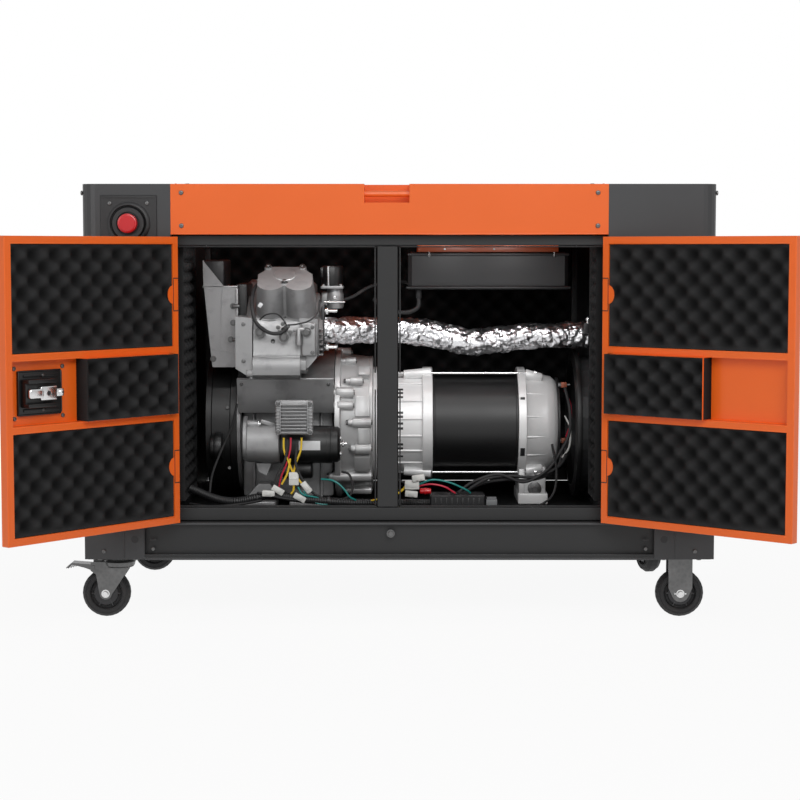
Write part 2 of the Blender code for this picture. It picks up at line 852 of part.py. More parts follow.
def cylinders():
    half_x, half_y = CYLINDER_WIDTH / 2, CYLINDER_DEPTH / 2
    start = DECK_HEIGHT + SEAT
    end = start + CYLINDER_LENGTH
    front = cylinder_frame("front_cylinder_axis", 1)
    box(
        "front_cylinder",
        (CYLINDER_X - half_x, -half_y, start),
        (CYLINDER_X + half_x, half_y, end),
        "cast_alloy",
        front,
        bevel=0.014,
    )
    low, high = end + SEAT, end + SEAT + VALVE_COVER
    prism(
        "front_valve_cover",
        [
            (VALVE_COVER_X - 0.058, -0.022),
            (VALVE_COVER_X - 0.030, -0.056),
            (VALVE_COVER_X + 0.030, -0.056),
            (VALVE_COVER_X + 0.058, -0.022),
            (VALVE_COVER_X + 0.058, 0.030),
            (VALVE_COVER_X + 0.034, 0.060),
            (VALVE_COVER_X - 0.034, 0.060),
            (VALVE_COVER_X - 0.058, 0.030),
        ],
        low,
        high - low,
        "XY",
        "cast_alloy",
        front,
        bevel=0.010,
    )
    rear = cylinder_frame("rear_cylinder_axis", -1)
    box(
        "rear_cylinder",
        (CYLINDER_X - half_x, -half_y, start),
        (CYLINDER_X + half_x, half_y, end + VALVE_COVER / 2),
        "cast_alloy",
        rear,
        bevel=0.014,
    )


def blower():
    right = CASE_LEFT - SEAT
    left = right - BLOWER_WIDTH
    low = AXIS_Z + DUCT_RADIUS + SEAT
    high = low + BLOWER_HEIGHT
    prism(
        "blower_housing",
        [
            (AXIS_Y - 0.125, low),
            (AXIS_Y + 0.125, low),
            (AXIS_Y + 0.140, high - 0.0857),
            (AXIS_Y + 0.080, high),
            (AXIS_Y - 0.060, high),
            (AXIS_Y - 0.145, high - 0.0457),
            (AXIS_Y - 0.145, low + 0.050),
        ],
        left,
        right - left,
        "YZ",
        "cast_alloy",
        bevel=0.006,
    )
    inner = DUCT_RADIUS - DUCT_WALL
    turned(
        "fan_duct",
        [
            (SHAFT_RADIUS + 0.004, DUCT_LENGTH),
            (DUCT_RADIUS, DUCT_LENGTH),
            (DUCT_RADIUS, 0),
            (inner, 0),
            (inner, DUCT_LENGTH - DUCT_BACK),
            (SHAFT_RADIUS + 0.004, DUCT_LENGTH - DUCT_BACK),
        ],
        (CASE_LEFT - SEAT - DUCT_LENGTH, AXIS_Y, AXIS_Z),
        (1, 0, 0),
        "black_enamel",
        steps=28,
    )


def fan_outline(root, tip, blades):
    """A wheel with one sloped tooth for each blade."""
    points = []
    for blade in range(blades):
        start = 360.0 * blade / blades
        for share, radius in ((0.0, root), (0.25, tip), (0.42, tip), (0.55, root)):
            angle = math.radians(start + share * 360.0 / blades)
            points.append((radius * math.cos(angle), radius * math.sin(angle)))
    return points


def rotating_parts():
    """The flywheel fan and the alternator's rotor, whose shaft is the engine's crankshaft line."""
    crank = pivot("crank_axis", (0, AXIS_Y, AXIS_Z))
    fan_left = CASE_LEFT - SEAT - DUCT_LENGTH + 0.006
    fan = prism(
        "flywheel_fan",
        fan_outline(0.090, DUCT_RADIUS - DUCT_WALL - 0.005, FAN_BLADES),
        fan_left,
        FAN_WIDTH,
        "YZ",
        "cast_alloy",
        crank,
    )
    hub = rod("fan_hub", (fan_left - 0.012, 0, 0), (1, 0, 0), HUB_RADIUS, 0.020, parent=crank)
    fan_bore = rod(
        "fan_bore", (fan_left + 0.010, 0, 0), (1, 0, 0), SHAFT_RADIUS + SEAT, 0.04, parent=crank,
        sides=28,
    )
    join(fan, hub)
    cut(fan, fan_bore)
    shaft_left = fan_left + 0.010 + SEAT
    shaft_right = STATOR_RIGHT + BELL_LENGTH - 0.012
    rotor = rod(
        "alternator_rotor", (shaft_left, 0, 0), (1, 0, 0), SHAFT_RADIUS, shaft_right - shaft_left,
        "zinc_steel", crank, sides=28,
    )
    core = rod(
        "rotor_core", (STATOR_LEFT + 0.004, 0, 0), (1, 0, 0), STATOR_BORE - AIR_GAP,
        STATOR_LENGTH - 0.008, parent=crank, sides=28,
    )
    join(rotor, core)


def alternator():
    ring_left = STATOR_LEFT - SEAT - BRACKET_RING
    shaft_bore = SHAFT_RADIUS + SHAFT_CLEARANCE
    barrel = BRACKET_RADIUS - 0.012
    length = BRACKET_LENGTH
    bracket = turned(
        "alternator_bracket",
        [
            (BRACKET_BORE, length),
            (BRACKET_RADIUS, length),
            (BRACKET_RADIUS, length - BRACKET_RING),
            (barrel, length - BRACKET_RING),
            (barrel, 0),
            (shaft_bore, 0),
            (shaft_bore, 0.012),
            (BRACKET_BORE, 0.012),
        ],
        (COVER_RIGHT + SEAT, AXIS_Y, AXIS_Z),
        (1, 0, 0),
        "cast_alloy",
        steps=28,
    )
    vents = [
        box(
            f"bracket_vent_{number}",
            (ring_left - 0.046, AXIS_Y - BRACKET_RADIUS - 0.01, AXIS_Z + offset - 0.010),
            (ring_left - 0.012, AXIS_Y + BRACKET_RADIUS + 0.01, AXIS_Z + offset + 0.010),
        )
        for number, offset in enumerate((-0.045, 0.0, 0.045))
    ]
    cut(bracket, *vents)
    ring(
        "alternator_stator",
        (STATOR_LEFT, AXIS_Y, AXIS_Z),
        (1, 0, 0),
        STATOR_RADIUS,
        STATOR_BORE,
        STATOR_LENGTH,
        "black_enamel",
        steps=28,
    )
    outer = STATOR_RADIUS + 0.009
    bell = turned(
        "alternator_end_bell",
        [
            (shaft_bore, BELL_LENGTH + 0.022),
            (0.055, BELL_LENGTH + 0.022),
            (0.074, BELL_LENGTH + 0.018),
            (outer - 0.012, 0.060),
            (outer - 0.010, 0.023),
            (outer, 0.023),
            (outer, 0),
            (outer - 0.020, 0),
            (outer - 0.022, 0.050),
            (0.060, BELL_LENGTH),
            (shaft_bore, BELL_LENGTH),
        ],
        (STATOR_RIGHT + SEAT, AXIS_Y, AXIS_Z),
        (1, 0, 0),
        "cast_alloy",
        steps=28,
    )
    foot = box(
        "bell_foot",
        (STATOR_RIGHT + SEAT, AXIS_Y - 0.080, DECK_Z),
        (STATOR_RIGHT + 0.068, AXIS_Y + 0.080, AXIS_Z - outer + 0.016),
    )
    foot_clear = box(
        "foot_arch",
        (STATOR_RIGHT - 0.01, AXIS_Y - 0.040, 0.0),
        (STATOR_RIGHT + 0.08, AXIS_Y + 0.040, DECK_Z + 0.022),
    )
    join(bell, foot)
    cut(bell, foot_clear)


def engine_fittings():
    starter_y = AXIS_Y - crankcase_half() - SEAT - STARTER_NOSE
    starter_z = AXIS_Z - STARTER_DROP
    starter = rod(
        "starter_motor", (CASE_LEFT + 0.017, starter_y, starter_z), (1, 0, 0), STARTER_NOSE, 0.078,
        "black_enamel", sides=28,
    )
    body = rod(
        "starter_body", (CASE_LEFT + 0.083, starter_y, starter_z - 0.004), (1, 0, 0), STARTER_BODY,
        CASE_LENGTH - 0.083,
    )
    solenoid = rod(
        "solenoid", (CASE_LEFT + 0.091, starter_y + 0.010, starter_z - 0.060), (1, 0, 0), 0.019, 0.095
    )
    join(starter, body, solenoid)

    left = CASE_LEFT + 0.0866
    regulator = box(
        "voltage_regulator",
        (left, REGULATOR_Y, AXIS_Z - 0.008),
        (left + 0.081, REGULATOR_Y + 0.024, AXIS_Z + 0.065),
        "cast_alloy",
        bevel=0.004,
    )
    stay = box(
        "regulator_stay",
        (left + 0.0264, REGULATOR_Y + 0.022, AXIS_Z + 0.037),
        (left + 0.0544, AXIS_Y - crankcase_half() - SEAT, AXIS_Z + 0.057),
    )
    join(regulator, stay)

    side, y, low = CYLINDER_RIGHT, AXIS_Y - 0.085, AXIS_Z + 0.2495
    intake = rod("carburettor", (side + 0.046, y, low), (0, 0, 1), 0.024, 0.050, "cast_alloy")
    inlet = box("intake_flange", (side, y - 0.013, low + 0.0075), (side + 0.050, y + 0.013, low + 0.0375))
    lid = box("intake_lid", (side + 0.022, y - 0.024, low + 0.0495), (side + 0.070, y + 0.024, low + 0.0555))
    riser = rod("intake_riser", (side + 0.042, y, low + 0.0525), (0, 0, 1), 0.006, 0.050, sides=16)
    join(intake, inlet, lid, riser)


def crankcase_half():
    """Half the crankcase's depth, from the crank axis to its front face."""
    tilt = math.radians(CYLINDER_TILT)
    return DECK_HEIGHT * math.sin(tilt) + CYLINDER_DEPTH / 2 * math.cos(tilt)


def exhaust():
    side, port_z = CYLINDER_RIGHT, AXIS_Z + PORT_RISE
    muffler_x = BAY_RIGHT + MUFFLER_OFFSET
    pipe_end = muffler_x - MUFFLER_RADIUS - SEAT + 0.0006
    route = [
        (side + 0.008, PORT_Y, port_z),
        (side + 0.060, PORT_Y + 0.015, port_z + 0.001),
        (COVER_RIGHT + 0.0187, PIPE_Y - 0.015, PIPE_Z + 0.011),
        (STATOR_LEFT - 0.0333, PIPE_Y, PIPE_Z + 0.006),
        (STATOR_LEFT + 0.0267, PIPE_Y, PIPE_Z - 0.004),
        (STATOR_LEFT + 0.0827, PIPE_Y, PIPE_Z - 0.016),
        (STATOR_LEFT + 0.1707, PIPE_Y, PIPE_Z - 0.008),
        (STATOR_RIGHT + 0.0697, PIPE_Y, PIPE_Z - 0.002),
        (BAY_RIGHT - 0.020, PIPE_Y, PIPE_Z),
        (pipe_end - 0.0006, PIPE_Y, PIPE_Z),
    ]
    pipe = as_mesh(tube("exhaust_pipe", route, PIPE_RADIUS, "foil", 3, 0.022), "foil")
    flange = rod("exhaust_flange", (side, PORT_Y, port_z), (1, 0, 0), PIPE_RADIUS + 0.005, 0.012)
    join(pipe, flange)

    muffler = rod(
        "muffler", (muffler_x, MUFFLER_FRONT, PIPE_Z), (0, 1, 0), MUFFLER_RADIUS, MUFFLER_LENGTH,
        "zinc_steel", sides=28,
    )
    legs = [
        box(
            f"muffler_leg_{number}",
            (muffler_x - 0.012, y, DECK_Z),
            (muffler_x + 0.012, y + 0.030, PIPE_Z - MUFFLER_RADIUS / 2),
        )
        for number, y in enumerate((MUFFLER_FRONT + 0.040, MUFFLER_FRONT + MUFFLER_LENGTH - 0.060))
    ]
    inlet = rod(
        "muffler_inlet", (pipe_end, PIPE_Y, PIPE_Z), (1, 0, 0), PIPE_RADIUS - 0.004, 0.02
    )
    tail = rod(
        "tail_pipe", (muffler_x, TAIL_Y, PIPE_Z), (1, 0, 0), TAIL_RADIUS,
        LENGTH / 2 + 0.010 - muffler_x,
    )
    tail_bore = rod(
        "tail_bore", (muffler_x + 0.03, TAIL_Y, PIPE_Z), (1, 0, 0), TAIL_RADIUS - 0.003, RIGHT_COWL
    )
    join(muffler, *legs, inlet, tail)
    cut(muffler, tail_bore)


def electrics():
    module_left = STATOR_LEFT - 0.0087
    box(
        "control_module",
        (module_left, MODULE_Y, DECK_Z),
        (module_left + 0.1168, MODULE_Y + 0.060, DECK_Z + 0.0437),
        "black_plastic",
        bevel=0.003,
    )
    box(
        "battery",
        (-LENGTH / 2 + 0.020, 0.100, DECK_Z),
        (BAY_LEFT - 0.022, 0.300, DECK_Z + BATTERY_HEIGHT),
        "black_plastic",
        bevel=0.005,
    )
    # The loom leaves the foam and enters the module square to them.
    foam = BAY_LEFT + SEAT + 0.020 + SEAT
    tube(
        "engine_harness",
        [
            (foam, 0.150, DECK_Z + 0.0517),
            (foam + 0.014, 0.150, DECK_Z + 0.0517),
            (foam + 0.028, 0.150, DECK_Z + 0.0517),
            (CASE_LEFT - 0.032, 0.125, DECK_Z + 0.0317),
            (CASE_LEFT + 0.013, 0.105, DECK_Z + 0.0307),
            (CASE_LEFT + 0.083, 0.100, DECK_Z + 0.0437),
            (CASE_LEFT + 0.153, 0.095, DECK_Z + 0.0357),
            (CASE_RIGHT + 0.041, 0.100, DECK_Z + 0.0277),
            (module_left - 0.0646, LOOM_SOCKET_Y - 0.004, DECK_Z + 0.0237),
            (module_left - 0.0306, LOOM_SOCKET_Y, DECK_Z + 0.0227),
            (module_left - SEAT, LOOM_SOCKET_Y, DECK_Z + 0.0227),
        ],
        LOOM_RADIUS,
        "black_plastic",
        sides=2,
        spacing=0.016,
    )


# Doors


def door_span(low, high, side):
    return sorted((side * low, side * high))


def door(name, hinge, side):
    """A sheet pan with a folded lip and two ribs. Its own frame starts at the hinge pin."""
    free = DOOR_EDGE + DOOR_WIDTH
    skin, top = PIN_OUT, PIN_OUT + DOOR_THICKNESS
    low_x, high_x = door_span(DOOR_EDGE, free, side)
    pan = box(name, (low_x, skin, DOOR_LOW), (high_x, top, DOOR_HIGH), "orange_paint", hinge, 0.0012)
    pocket_x = door_span(DOOR_EDGE + DOOR_LIP, free - DOOR_LIP, side)
    for number, (low, high) in enumerate(door_pockets()):
        pocket = box(
            f"{name}_pocket_{number}",
            (pocket_x[0], skin + DOOR_SKIN, low),
            (pocket_x[1], top + 0.01, high),
            parent=hinge,
        )
        cut(pan, pocket)
    for number, z in enumerate(HINGE_HEIGHTS):
        base = f"{name}_hinge_{number}"
        pieces = hinge_barrel(
            base, 0.0, z, hinge, (0, 2), side, (PIN_OUT - 0.002, PIN_OUT + 0.001, 0.0)
        )
        join(pan, *pieces)
        neck_x = door_span(0.0, 0.008, side)
        third = HINGE_HEIGHT / 3
        for index in (0, 2):
            low = z - HINGE_HEIGHT / 2 + index * third + (0.0004 if index else 0)
            neck = box(
                f"{base}_neck_{index}",
                (neck_x[0], -0.001, low + 0.0003),
                (neck_x[1], PIN_OUT + 0.0007, low + third - 0.0011),
                parent=hinge,
            )
            join(pan, neck)
        bore = rod(
            f"{base}_bore", (0, 0, z - HINGE_HEIGHT), (0, 0, 1), PIN_RADIUS + 0.0006,
            2 * HINGE_HEIGHT, parent=hinge, sides=16,
        )
        cut(pan, bore)
    return pan


def door_pockets():
    """The lowest and highest points of the door's three bays, from the bottom one up."""
    low, high = BLOCK_Z - MIDDLE_BAY / 2, BLOCK_Z + MIDDLE_BAY / 2
    return (
        (DOOR_LOW + DOOR_LIP, low - DOOR_RIB),
        (low, high),
        (high + DOOR_RIB, DOOR_HIGH - DOOR_LIP),
    )


def door_pads(name, hinge, side, block_length):
    """Foam that fills the bottom and top bays, and a thicker block in the middle bay."""
    inset = DOOR_EDGE + DOOR_LIP + PAD_GAP
    free = DOOR_EDGE + DOOR_WIDTH - DOOR_LIP - PAD_GAP
    base = PIN_OUT + DOOR_SKIN + SEAT
    bays = door_pockets()
    for place, (low, high), far, top in (
        ("bottom", bays[0], free, PAD_TOP),
        ("block", bays[1], inset + block_length, BLOCK_TOP),
        ("top", bays[2], free, PAD_TOP),
    ):
        x = door_span(inset, far, side)
        box(
            f"{name}_foam_{place}",
            (x[0], base, low + PAD_GAP),
            (x[1], PIN_OUT + top, high - PAD_GAP),
            "acoustic_foam",
            hinge,
            0.004,
        )


def latch(hinge):
    """A case with a sliding bolt inside the left door, worked by a handle on its outer skin."""
    free = DOOR_EDGE + DOOR_WIDTH
    high_x = free - LATCH_EDGE
    low_x = high_x - LATCH_LENGTH
    base, top = PIN_OUT + DOOR_SKIN + SEAT, PIN_OUT + LATCH_TOP
    case = box(
        "latch_case",
        (low_x, base, BLOCK_Z - LATCH_HEIGHT / 2),
        (high_x, top, BLOCK_Z + LATCH_HEIGHT / 2),
        "black_plastic",
        hinge,
        0.003,
    )
    guide_top = bolt_low() + BOLT_THICKNESS + BOLT_RUNNING
    guides = []
    for number, x in enumerate((low_x + 0.020, high_x - 0.030)):
        for edge, sign in (("low", -1), ("high", 1)):
            near = BLOCK_Z + sign * (BOLT_HEIGHT / 2 + BOLT_RUNNING)
            guides.append(
                box(
                    f"bolt_guide_{edge}_{number}",
                    (x, top - 0.002, min(near, near + sign * 0.006)),
                    (x + 0.014, guide_top, max(near, near + sign * 0.006)),
                    parent=hinge,
                )
            )
    keeper = box(
        "guide_bridge",
        (high_x - 0.030, guide_top - 0.0001, BLOCK_Z - BOLT_HEIGHT / 2 - 0.0068),
        (high_x - 0.016, guide_top + 0.003, BLOCK_Z + BOLT_HEIGHT / 2 + 0.0068),
        parent=hinge,
    )
    join(case, *guides, keeper)
    nose = free - BOLT_NOSE
    box(
        "latch_bolt",
        (nose - BOLT_LENGTH, bolt_low(), BLOCK_Z - BOLT_HEIGHT / 2),
        (nose, bolt_low() + BOLT_THICKNESS, BLOCK_Z + BOLT_HEIGHT / 2),
        "zinc_steel",
        hinge,
        0.002,
    )
    # A quarter turn of the handle on the outer skin throws the bolt. At rest it stands upright.
    handle_x = (low_x + high_x) / 2
    handle = rod(
        "latch_handle",
        (handle_x, PIN_OUT - SEAT, BLOCK_Z),
        (0, -1, 0),
        HANDLE_RADIUS,
        HANDLE_PLATE,
        "black_plastic",
        hinge,
        sides=28,
        end_radius=HANDLE_RADIUS - 0.001,
    )
    grip = box(
        "handle_grip",
        (handle_x - GRIP_WIDTH / 2, PIN_OUT - SEAT - HANDLE_PLATE - GRIP_HEIGHT, BLOCK_Z - GRIP_LENGTH / 2),
        (handle_x + GRIP_WIDTH / 2, PIN_OUT - SEAT - HANDLE_PLATE / 2, BLOCK_Z + GRIP_LENGTH / 2),
        parent=hinge,
        bevel=0.003,
    )
    join(handle, grip)


def doors():
    left = pivot("left_door_hinge", (left_pin_x(), -PIN_OUT, 0), -LEFT_DOOR_OPEN)
    right = pivot("right_door_hinge", (right_pin_x(), -PIN_OUT, 0), RIGHT_DOOR_OPEN)
    door("left_door", left, 1)
    door("right_door", right, -1)
    door_pads("left_door", left, 1, 0.241)
    door_pads("right_door", right, -1, 0.233)
    latch(left)


# Emergency stop, controls


def emergency_stop():
    half = STOP_PLATE / 2
    front = -SEAT
    plate = box(
        "stop_housing",
        (STOP_X - half, front - 0.003, STOP_Z - half),
        (STOP_X + half, front, STOP_Z + half),
        "black_plastic",
        bevel=0.001,
    )
    cup = rod("stop_cup", (STOP_X, front - 0.012, STOP_Z), (0, 1, 0), STOP_CUP - 0.004, 0.0105,
              sides=28, end_radius=STOP_CUP)
    body = rod("stop_body", (STOP_X, front - 0.002, STOP_Z), (0, 1, 0), STEM_RADIUS + 0.005, 0.035)
    well = rod("stop_well", (STOP_X, front - 0.02, STOP_Z), (0, 1, 0), BUTTON_RADIUS + 0.004, 0.0135)
    bore = rod("stop_bore", (STOP_X, front - 0.02, STOP_Z), (0, 1, 0), STEM_RADIUS + 0.0006, 0.046)
    join(plate, cup, body)
    cut(plate, well, bore)
    button = rod(
        "stop_button", (STOP_X, front - 0.028, STOP_Z), (0, 1, 0), BUTTON_RADIUS - 0.004, 0.012,
        "red_plastic", sides=28, end_radius=BUTTON_RADIUS,
    )
    stem = rod("stop_stem", (STOP_X, front - 0.018, STOP_Z), (0, 1, 0), STEM_RADIUS, 0.034, sides=32)
    join(button, stem)


def control_panel():
    face = -LENGTH / 2 - SEAT
    panel = box(
        "control_panel",
        (face - 0.003, PANEL_Y - PANEL_WIDTH / 2, PANEL_Z - PANEL_HEIGHT / 2),
        (face, PANEL_Y + PANEL_WIDTH / 2, PANEL_Z + PANEL_HEIGHT / 2),
        "black_plastic",
        bevel=0.001,
    )
    low = socket_height()
    for number, y in enumerate(socket_places()):
        socket = rod(
            f"socket_{number}", (face + 0.020, y, low), (-1, 0, 0), SOCKET_RADIUS, 0.036,
            end_radius=SOCKET_RADIUS - 0.002,
        )
        bore = rod(f"socket_bore_{number}", (face + 0.014, y, low), (-1, 0, 0), SOCKET_BORE, 0.04)
        join(panel, socket)
        cut(panel, bore)
    high = PANEL_Z + PANEL_HEIGHT / 2 - DIAL_DROP
    knob = rod(
        "weld_current_knob", (face - 0.003 - SEAT, PANEL_Y - DIAL_SPREAD, high), (-1, 0, 0), 0.024, 0.018,
        "black_plastic", end_radius=0.021,
    )
    pointer = box(
        "knob_pointer",
        (face - 0.0245, PANEL_Y - DIAL_SPREAD - 0.002, high),
        (face - 0.012, PANEL_Y - DIAL_SPREAD + 0.002, high + 0.021),
    )
    join(knob, pointer)
    key = rod(
        "key_switch", (face - 0.003 - SEAT, PANEL_Y + DIAL_SPREAD, high), (-1, 0, 0), 0.014, 0.008,
        "zinc_steel",
    )
    blade = box(
        "key_blade",
        (face - 0.036, PANEL_Y + DIAL_SPREAD - 0.001, high - 0.012),
        (face - 0.010, PANEL_Y + DIAL_SPREAD + 0.001, high + 0.012),
    )
    join(key, blade)


# Casters


def fork_leg(name, outline, side, parent):
    """One cheek of a fork, at the left or the right of the wheel."""
    near = FORK_GAP / 2 if side > 0 else -FORK_GAP / 2 - FORK_PLATE
    return prism(name, outline, near, FORK_PLATE, "XZ", parent=parent)


def wheel(name, centre, finish, parent):
    """A tyre on a stepped hub with a plain bore, turned about its axle."""
    half = WHEEL_WIDTH / 2
    hub = half + 0.0015
    return turned(
        name,
        [
            (WHEEL_BORE, hub),
            (0.013, hub),
            (0.015, half - 0.006),
            (0.031, half - 0.006),
            (0.034, half),
            (WHEEL_RADIUS - 0.006, half),
            (WHEEL_RADIUS, half - 0.008),
            (WHEEL_RADIUS, -half + 0.008),
            (WHEEL_RADIUS - 0.006, -half),
            (0.034, -half),
            (0.031, -half + 0.006),
            (0.015, -half + 0.006),
            (0.013, -hub),
            (WHEEL_BORE, -hub),
        ],
        centre,
        (0, 1, 0),
        finish,
        parent,
        steps=28,
    )


def axle(name, x, parent):
    width = FORK_GAP + 2 * FORK_PLATE + 0.006
    return rod(
        name, (x, -width / 2, WHEEL_RADIUS), (0, 1, 0), AXLE_RADIUS, width, parent=parent, sides=16
    )


def top_plate(name, z_low, parent, finish=None):
    return box(
        name,
        (-PLATE_LENGTH / 2, -PLATE_WIDTH / 2, z_low),
        (PLATE_LENGTH / 2, PLATE_WIDTH / 2, z_low + PLATE_THICKNESS),
        finish,
        parent,
    )


def swivel_caster(corner, x, y, turn, brake):
    fixed = pivot(f"caster_{corner}_seat", (x, y, 0))
    swivel = pivot(f"caster_{corner}_swivel", (x, y, 0), turn)
    plate_low = BASE_BOTTOM - SEAT - PLATE_THICKNESS
    plate = top_plate(f"caster_{corner}_plate", plate_low, fixed, "zinc_steel")
    race_low = plate_low - RACE_HEIGHT
    race = rod(
        f"{corner}_race", (0, 0, race_low), (0, 0, 1), RACE_RADIUS - 0.004, RACE_HEIGHT + 0.001,
        parent=fixed, end_radius=RACE_RADIUS,
    )
    kingpin = rod(
        f"{corner}_kingpin", (0, 0, race_low - CROWN_HEIGHT - 0.002), (0, 0, 1), KINGPIN_RADIUS,
        CROWN_HEIGHT + 0.004, parent=fixed,
    )
    join(plate, race, kingpin)

    crown_high = race_low - SEAT
    crown_low = crown_high - CROWN_HEIGHT
    fork = rod(
        f"caster_{corner}_fork", (0, 0, crown_low), (0, 0, 1), 0.032, CROWN_HEIGHT, "zinc_steel",
        swivel, sides=28, end_radius=0.034,
    )
    reach = PEDAL_REACH + 0.006 if brake else 0.044
    outline = (
        [(0.028, crown_high), (-reach, crown_high), (-reach, crown_high - 0.018)]
        + [(-TRAIL - 0.020, crown_high - 0.026)]
        + arc((-TRAIL, WHEEL_RADIUS), 0.013, 180, 350, 6)
        + [(0.018, crown_high - 0.020)]
    )
    legs = [
        fork_leg(f"{corner}_leg_{number}", outline, side, swivel)
        for number, side in enumerate((-1, 1))
    ]
    join(fork, *legs, axle(f"{corner}_axle", -TRAIL, swivel))
    hole = rod(
        f"{corner}_king_hole", (0, 0, crown_low - 0.01), (0, 0, 1), KINGPIN_RADIUS + SEAT, 0.03,
        parent=swivel, sides=28,
    )
    cut(fork, hole)
    wheel(f"caster_{corner}_wheel", (-TRAIL, 0, WHEEL_RADIUS), "wheel_rubber", swivel)
    if brake:
        brake_pedal(corner, fork, swivel, crown_high - 0.010)


def brake_pedal(corner, fork, swivel, z):
    """A foot lever on a cross pin between the fork's cheeks."""
    half = FORK_GAP / 2 - 0.001
    tip = -PEDAL_REACH - PEDAL_LENGTH
    pedal = prism(
        f"caster_{corner}_pedal",
        [
            (-PEDAL_REACH + 0.008, z + 0.004),
            (-PEDAL_REACH - 0.020, z + 0.006),
            (tip + 0.012, z + 0.008),
            (tip, z - 0.002),
            (tip + 0.001, z - 0.004),
            (tip + 0.014, z + 0.004),
            (-PEDAL_REACH - 0.020, z - 0.002),
            (-PEDAL_REACH - 0.006, z - 0.007),
            (-PEDAL_REACH + 0.008, z - 0.005),
        ],
        -half,
        2 * half,
        "XZ",
        "zinc_steel",
        swivel,
    )
    length = FORK_GAP + 2 * FORK_PLATE + 0.004
    pin = rod(
        f"{corner}_pedal_pin", (-PEDAL_REACH, -length / 2, z), (0, 1, 0), 0.003, length,
        parent=swivel, sides=16,
    )
    hole = rod(
        f"{corner}_pedal_hole", (-PEDAL_REACH, -length, z), (0, 1, 0), 0.0034, 2 * length,
        parent=swivel, sides=16,
    )
    join(pedal, pin)
    cut(fork, hole)


def rigid_caster(corner, x, y):
    fixed = pivot(f"caster_{corner}_seat", (x, y, 0))
    plate_low = BASE_BOTTOM - SEAT - PLATE_THICKNESS
    fork = top_plate(f"caster_{corner}_fork", plate_low, fixed, "zinc_steel")
    outline = (
        [(0.025, plate_low + 0.001), (-0.025, plate_low + 0.001), (-0.025, 0.062)]
        + arc((0, WHEEL_RADIUS), 0.018, 200, 340, 6)
        + [(0.025, 0.062)]
    )
    legs = [
        fork_leg(f"{corner}_leg_{number}", outline, side, fixed)
        for number, side in enumerate((-1, 1))
    ]
    join(fork, *legs, axle(f"{corner}_axle", 0.0, fixed))
    wheel(f"caster_{corner}_wheel", (0, 0, WHEEL_RADIUS), "wheel_rubber", fixed)


def casters():
    rear = DEPTH - CASTER_Y
    swivel_caster("front_left", -CASTER_X, CASTER_Y, 0.0, brake=True)
    rigid_caster("front_right", CASTER_X, CASTER_Y)
    swivel_caster("rear_right", CASTER_X, rear, REAR_CASTER_TURN, brake=False)
    rigid_caster("rear_left", -CASTER_X, rear)


def centre_over_origin():
    """Slides the machine so that the middle of its box stands over the origin."""
    bpy.context.view_layer.update()
    graph = bpy.context.evaluated_depsgraph_get()
    corners = []
    for node in PARTS.objects:
        if node.type == "EMPTY":
            continue
        evaluated = node.evaluated_get(graph)
        mesh = evaluated.to_mesh()
        corners += [evaluated.matrix_world @ vertex.co for vertex in mesh.vertices]
        evaluated.to_mesh_clear()
    for axis in (0, 1):
        values = [corner[axis] for corner in corners]
        MACHINE.location[axis] = -(min(values) + max(values)) / 2


def main():
    base_frame()
    door_frame()
    cowls()
    roof_cover()
    panels_and_foam()
    fuel_system()
    crankcase()
    cylinders()
    blower()
    rotating_parts()
    alternator()
    engine_fittings()
    exhaust()
    electrics()
    doors()
    emergency_stop()
    control_panel()
    casters()
    centre_over_origin()
    print("machine moved by", [round(value, 6) for value in MACHINE.location])


main()
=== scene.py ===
"""Looks for the engine driven welder: its stage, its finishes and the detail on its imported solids.

Lengths are in metres. The canopy's frame has x from the middle of the base, y from the front skin and
z from the floor. A door's frame starts at its hinge pin, with x along the door and y into the canopy.
"""

import json
import math
import random

import bmesh
import bpy
from bpy.props import FloatProperty, FloatVectorProperty, IntProperty, PointerProperty
from mathutils import Matrix, Vector, noise


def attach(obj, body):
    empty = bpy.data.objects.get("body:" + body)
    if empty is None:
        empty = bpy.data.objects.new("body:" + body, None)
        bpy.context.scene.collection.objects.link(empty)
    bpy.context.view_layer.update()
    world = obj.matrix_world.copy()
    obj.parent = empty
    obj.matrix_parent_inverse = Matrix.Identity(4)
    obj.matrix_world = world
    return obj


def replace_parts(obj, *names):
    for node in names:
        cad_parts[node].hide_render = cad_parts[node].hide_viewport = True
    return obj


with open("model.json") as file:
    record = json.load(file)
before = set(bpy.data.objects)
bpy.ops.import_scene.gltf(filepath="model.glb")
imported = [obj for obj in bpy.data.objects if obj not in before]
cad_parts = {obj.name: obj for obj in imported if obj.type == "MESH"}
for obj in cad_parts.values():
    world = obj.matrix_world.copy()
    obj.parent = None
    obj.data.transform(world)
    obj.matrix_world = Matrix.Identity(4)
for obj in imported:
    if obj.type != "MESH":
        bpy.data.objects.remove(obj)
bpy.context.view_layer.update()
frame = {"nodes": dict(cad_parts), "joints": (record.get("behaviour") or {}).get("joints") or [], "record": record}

bl_info = {
    "name": "Engine Driven Welder",
    "version": (1, 0, 0),
    "blender": (4, 5, 0),
    "location": "View3D > Sidebar > Welder",
    "description": "Adds the stage, finishes and detail of an engine driven welder",
    "category": "Object",
}


# Frames


def corners(node, place=None):
    """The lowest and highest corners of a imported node, in the frame that place turns into the world."""
    back = (place or Matrix()).inverted()
    points = [back @ vertex.co for vertex in frame["nodes"][node].data.vertices]
    low = Vector([min(point[axis] for point in points) for axis in range(3)])
    high = Vector([max(point[axis] for point in points) for axis in range(3)])
    return low, high


def joint(name):
    return next(row for row in frame["joints"] if row["name"] == name)


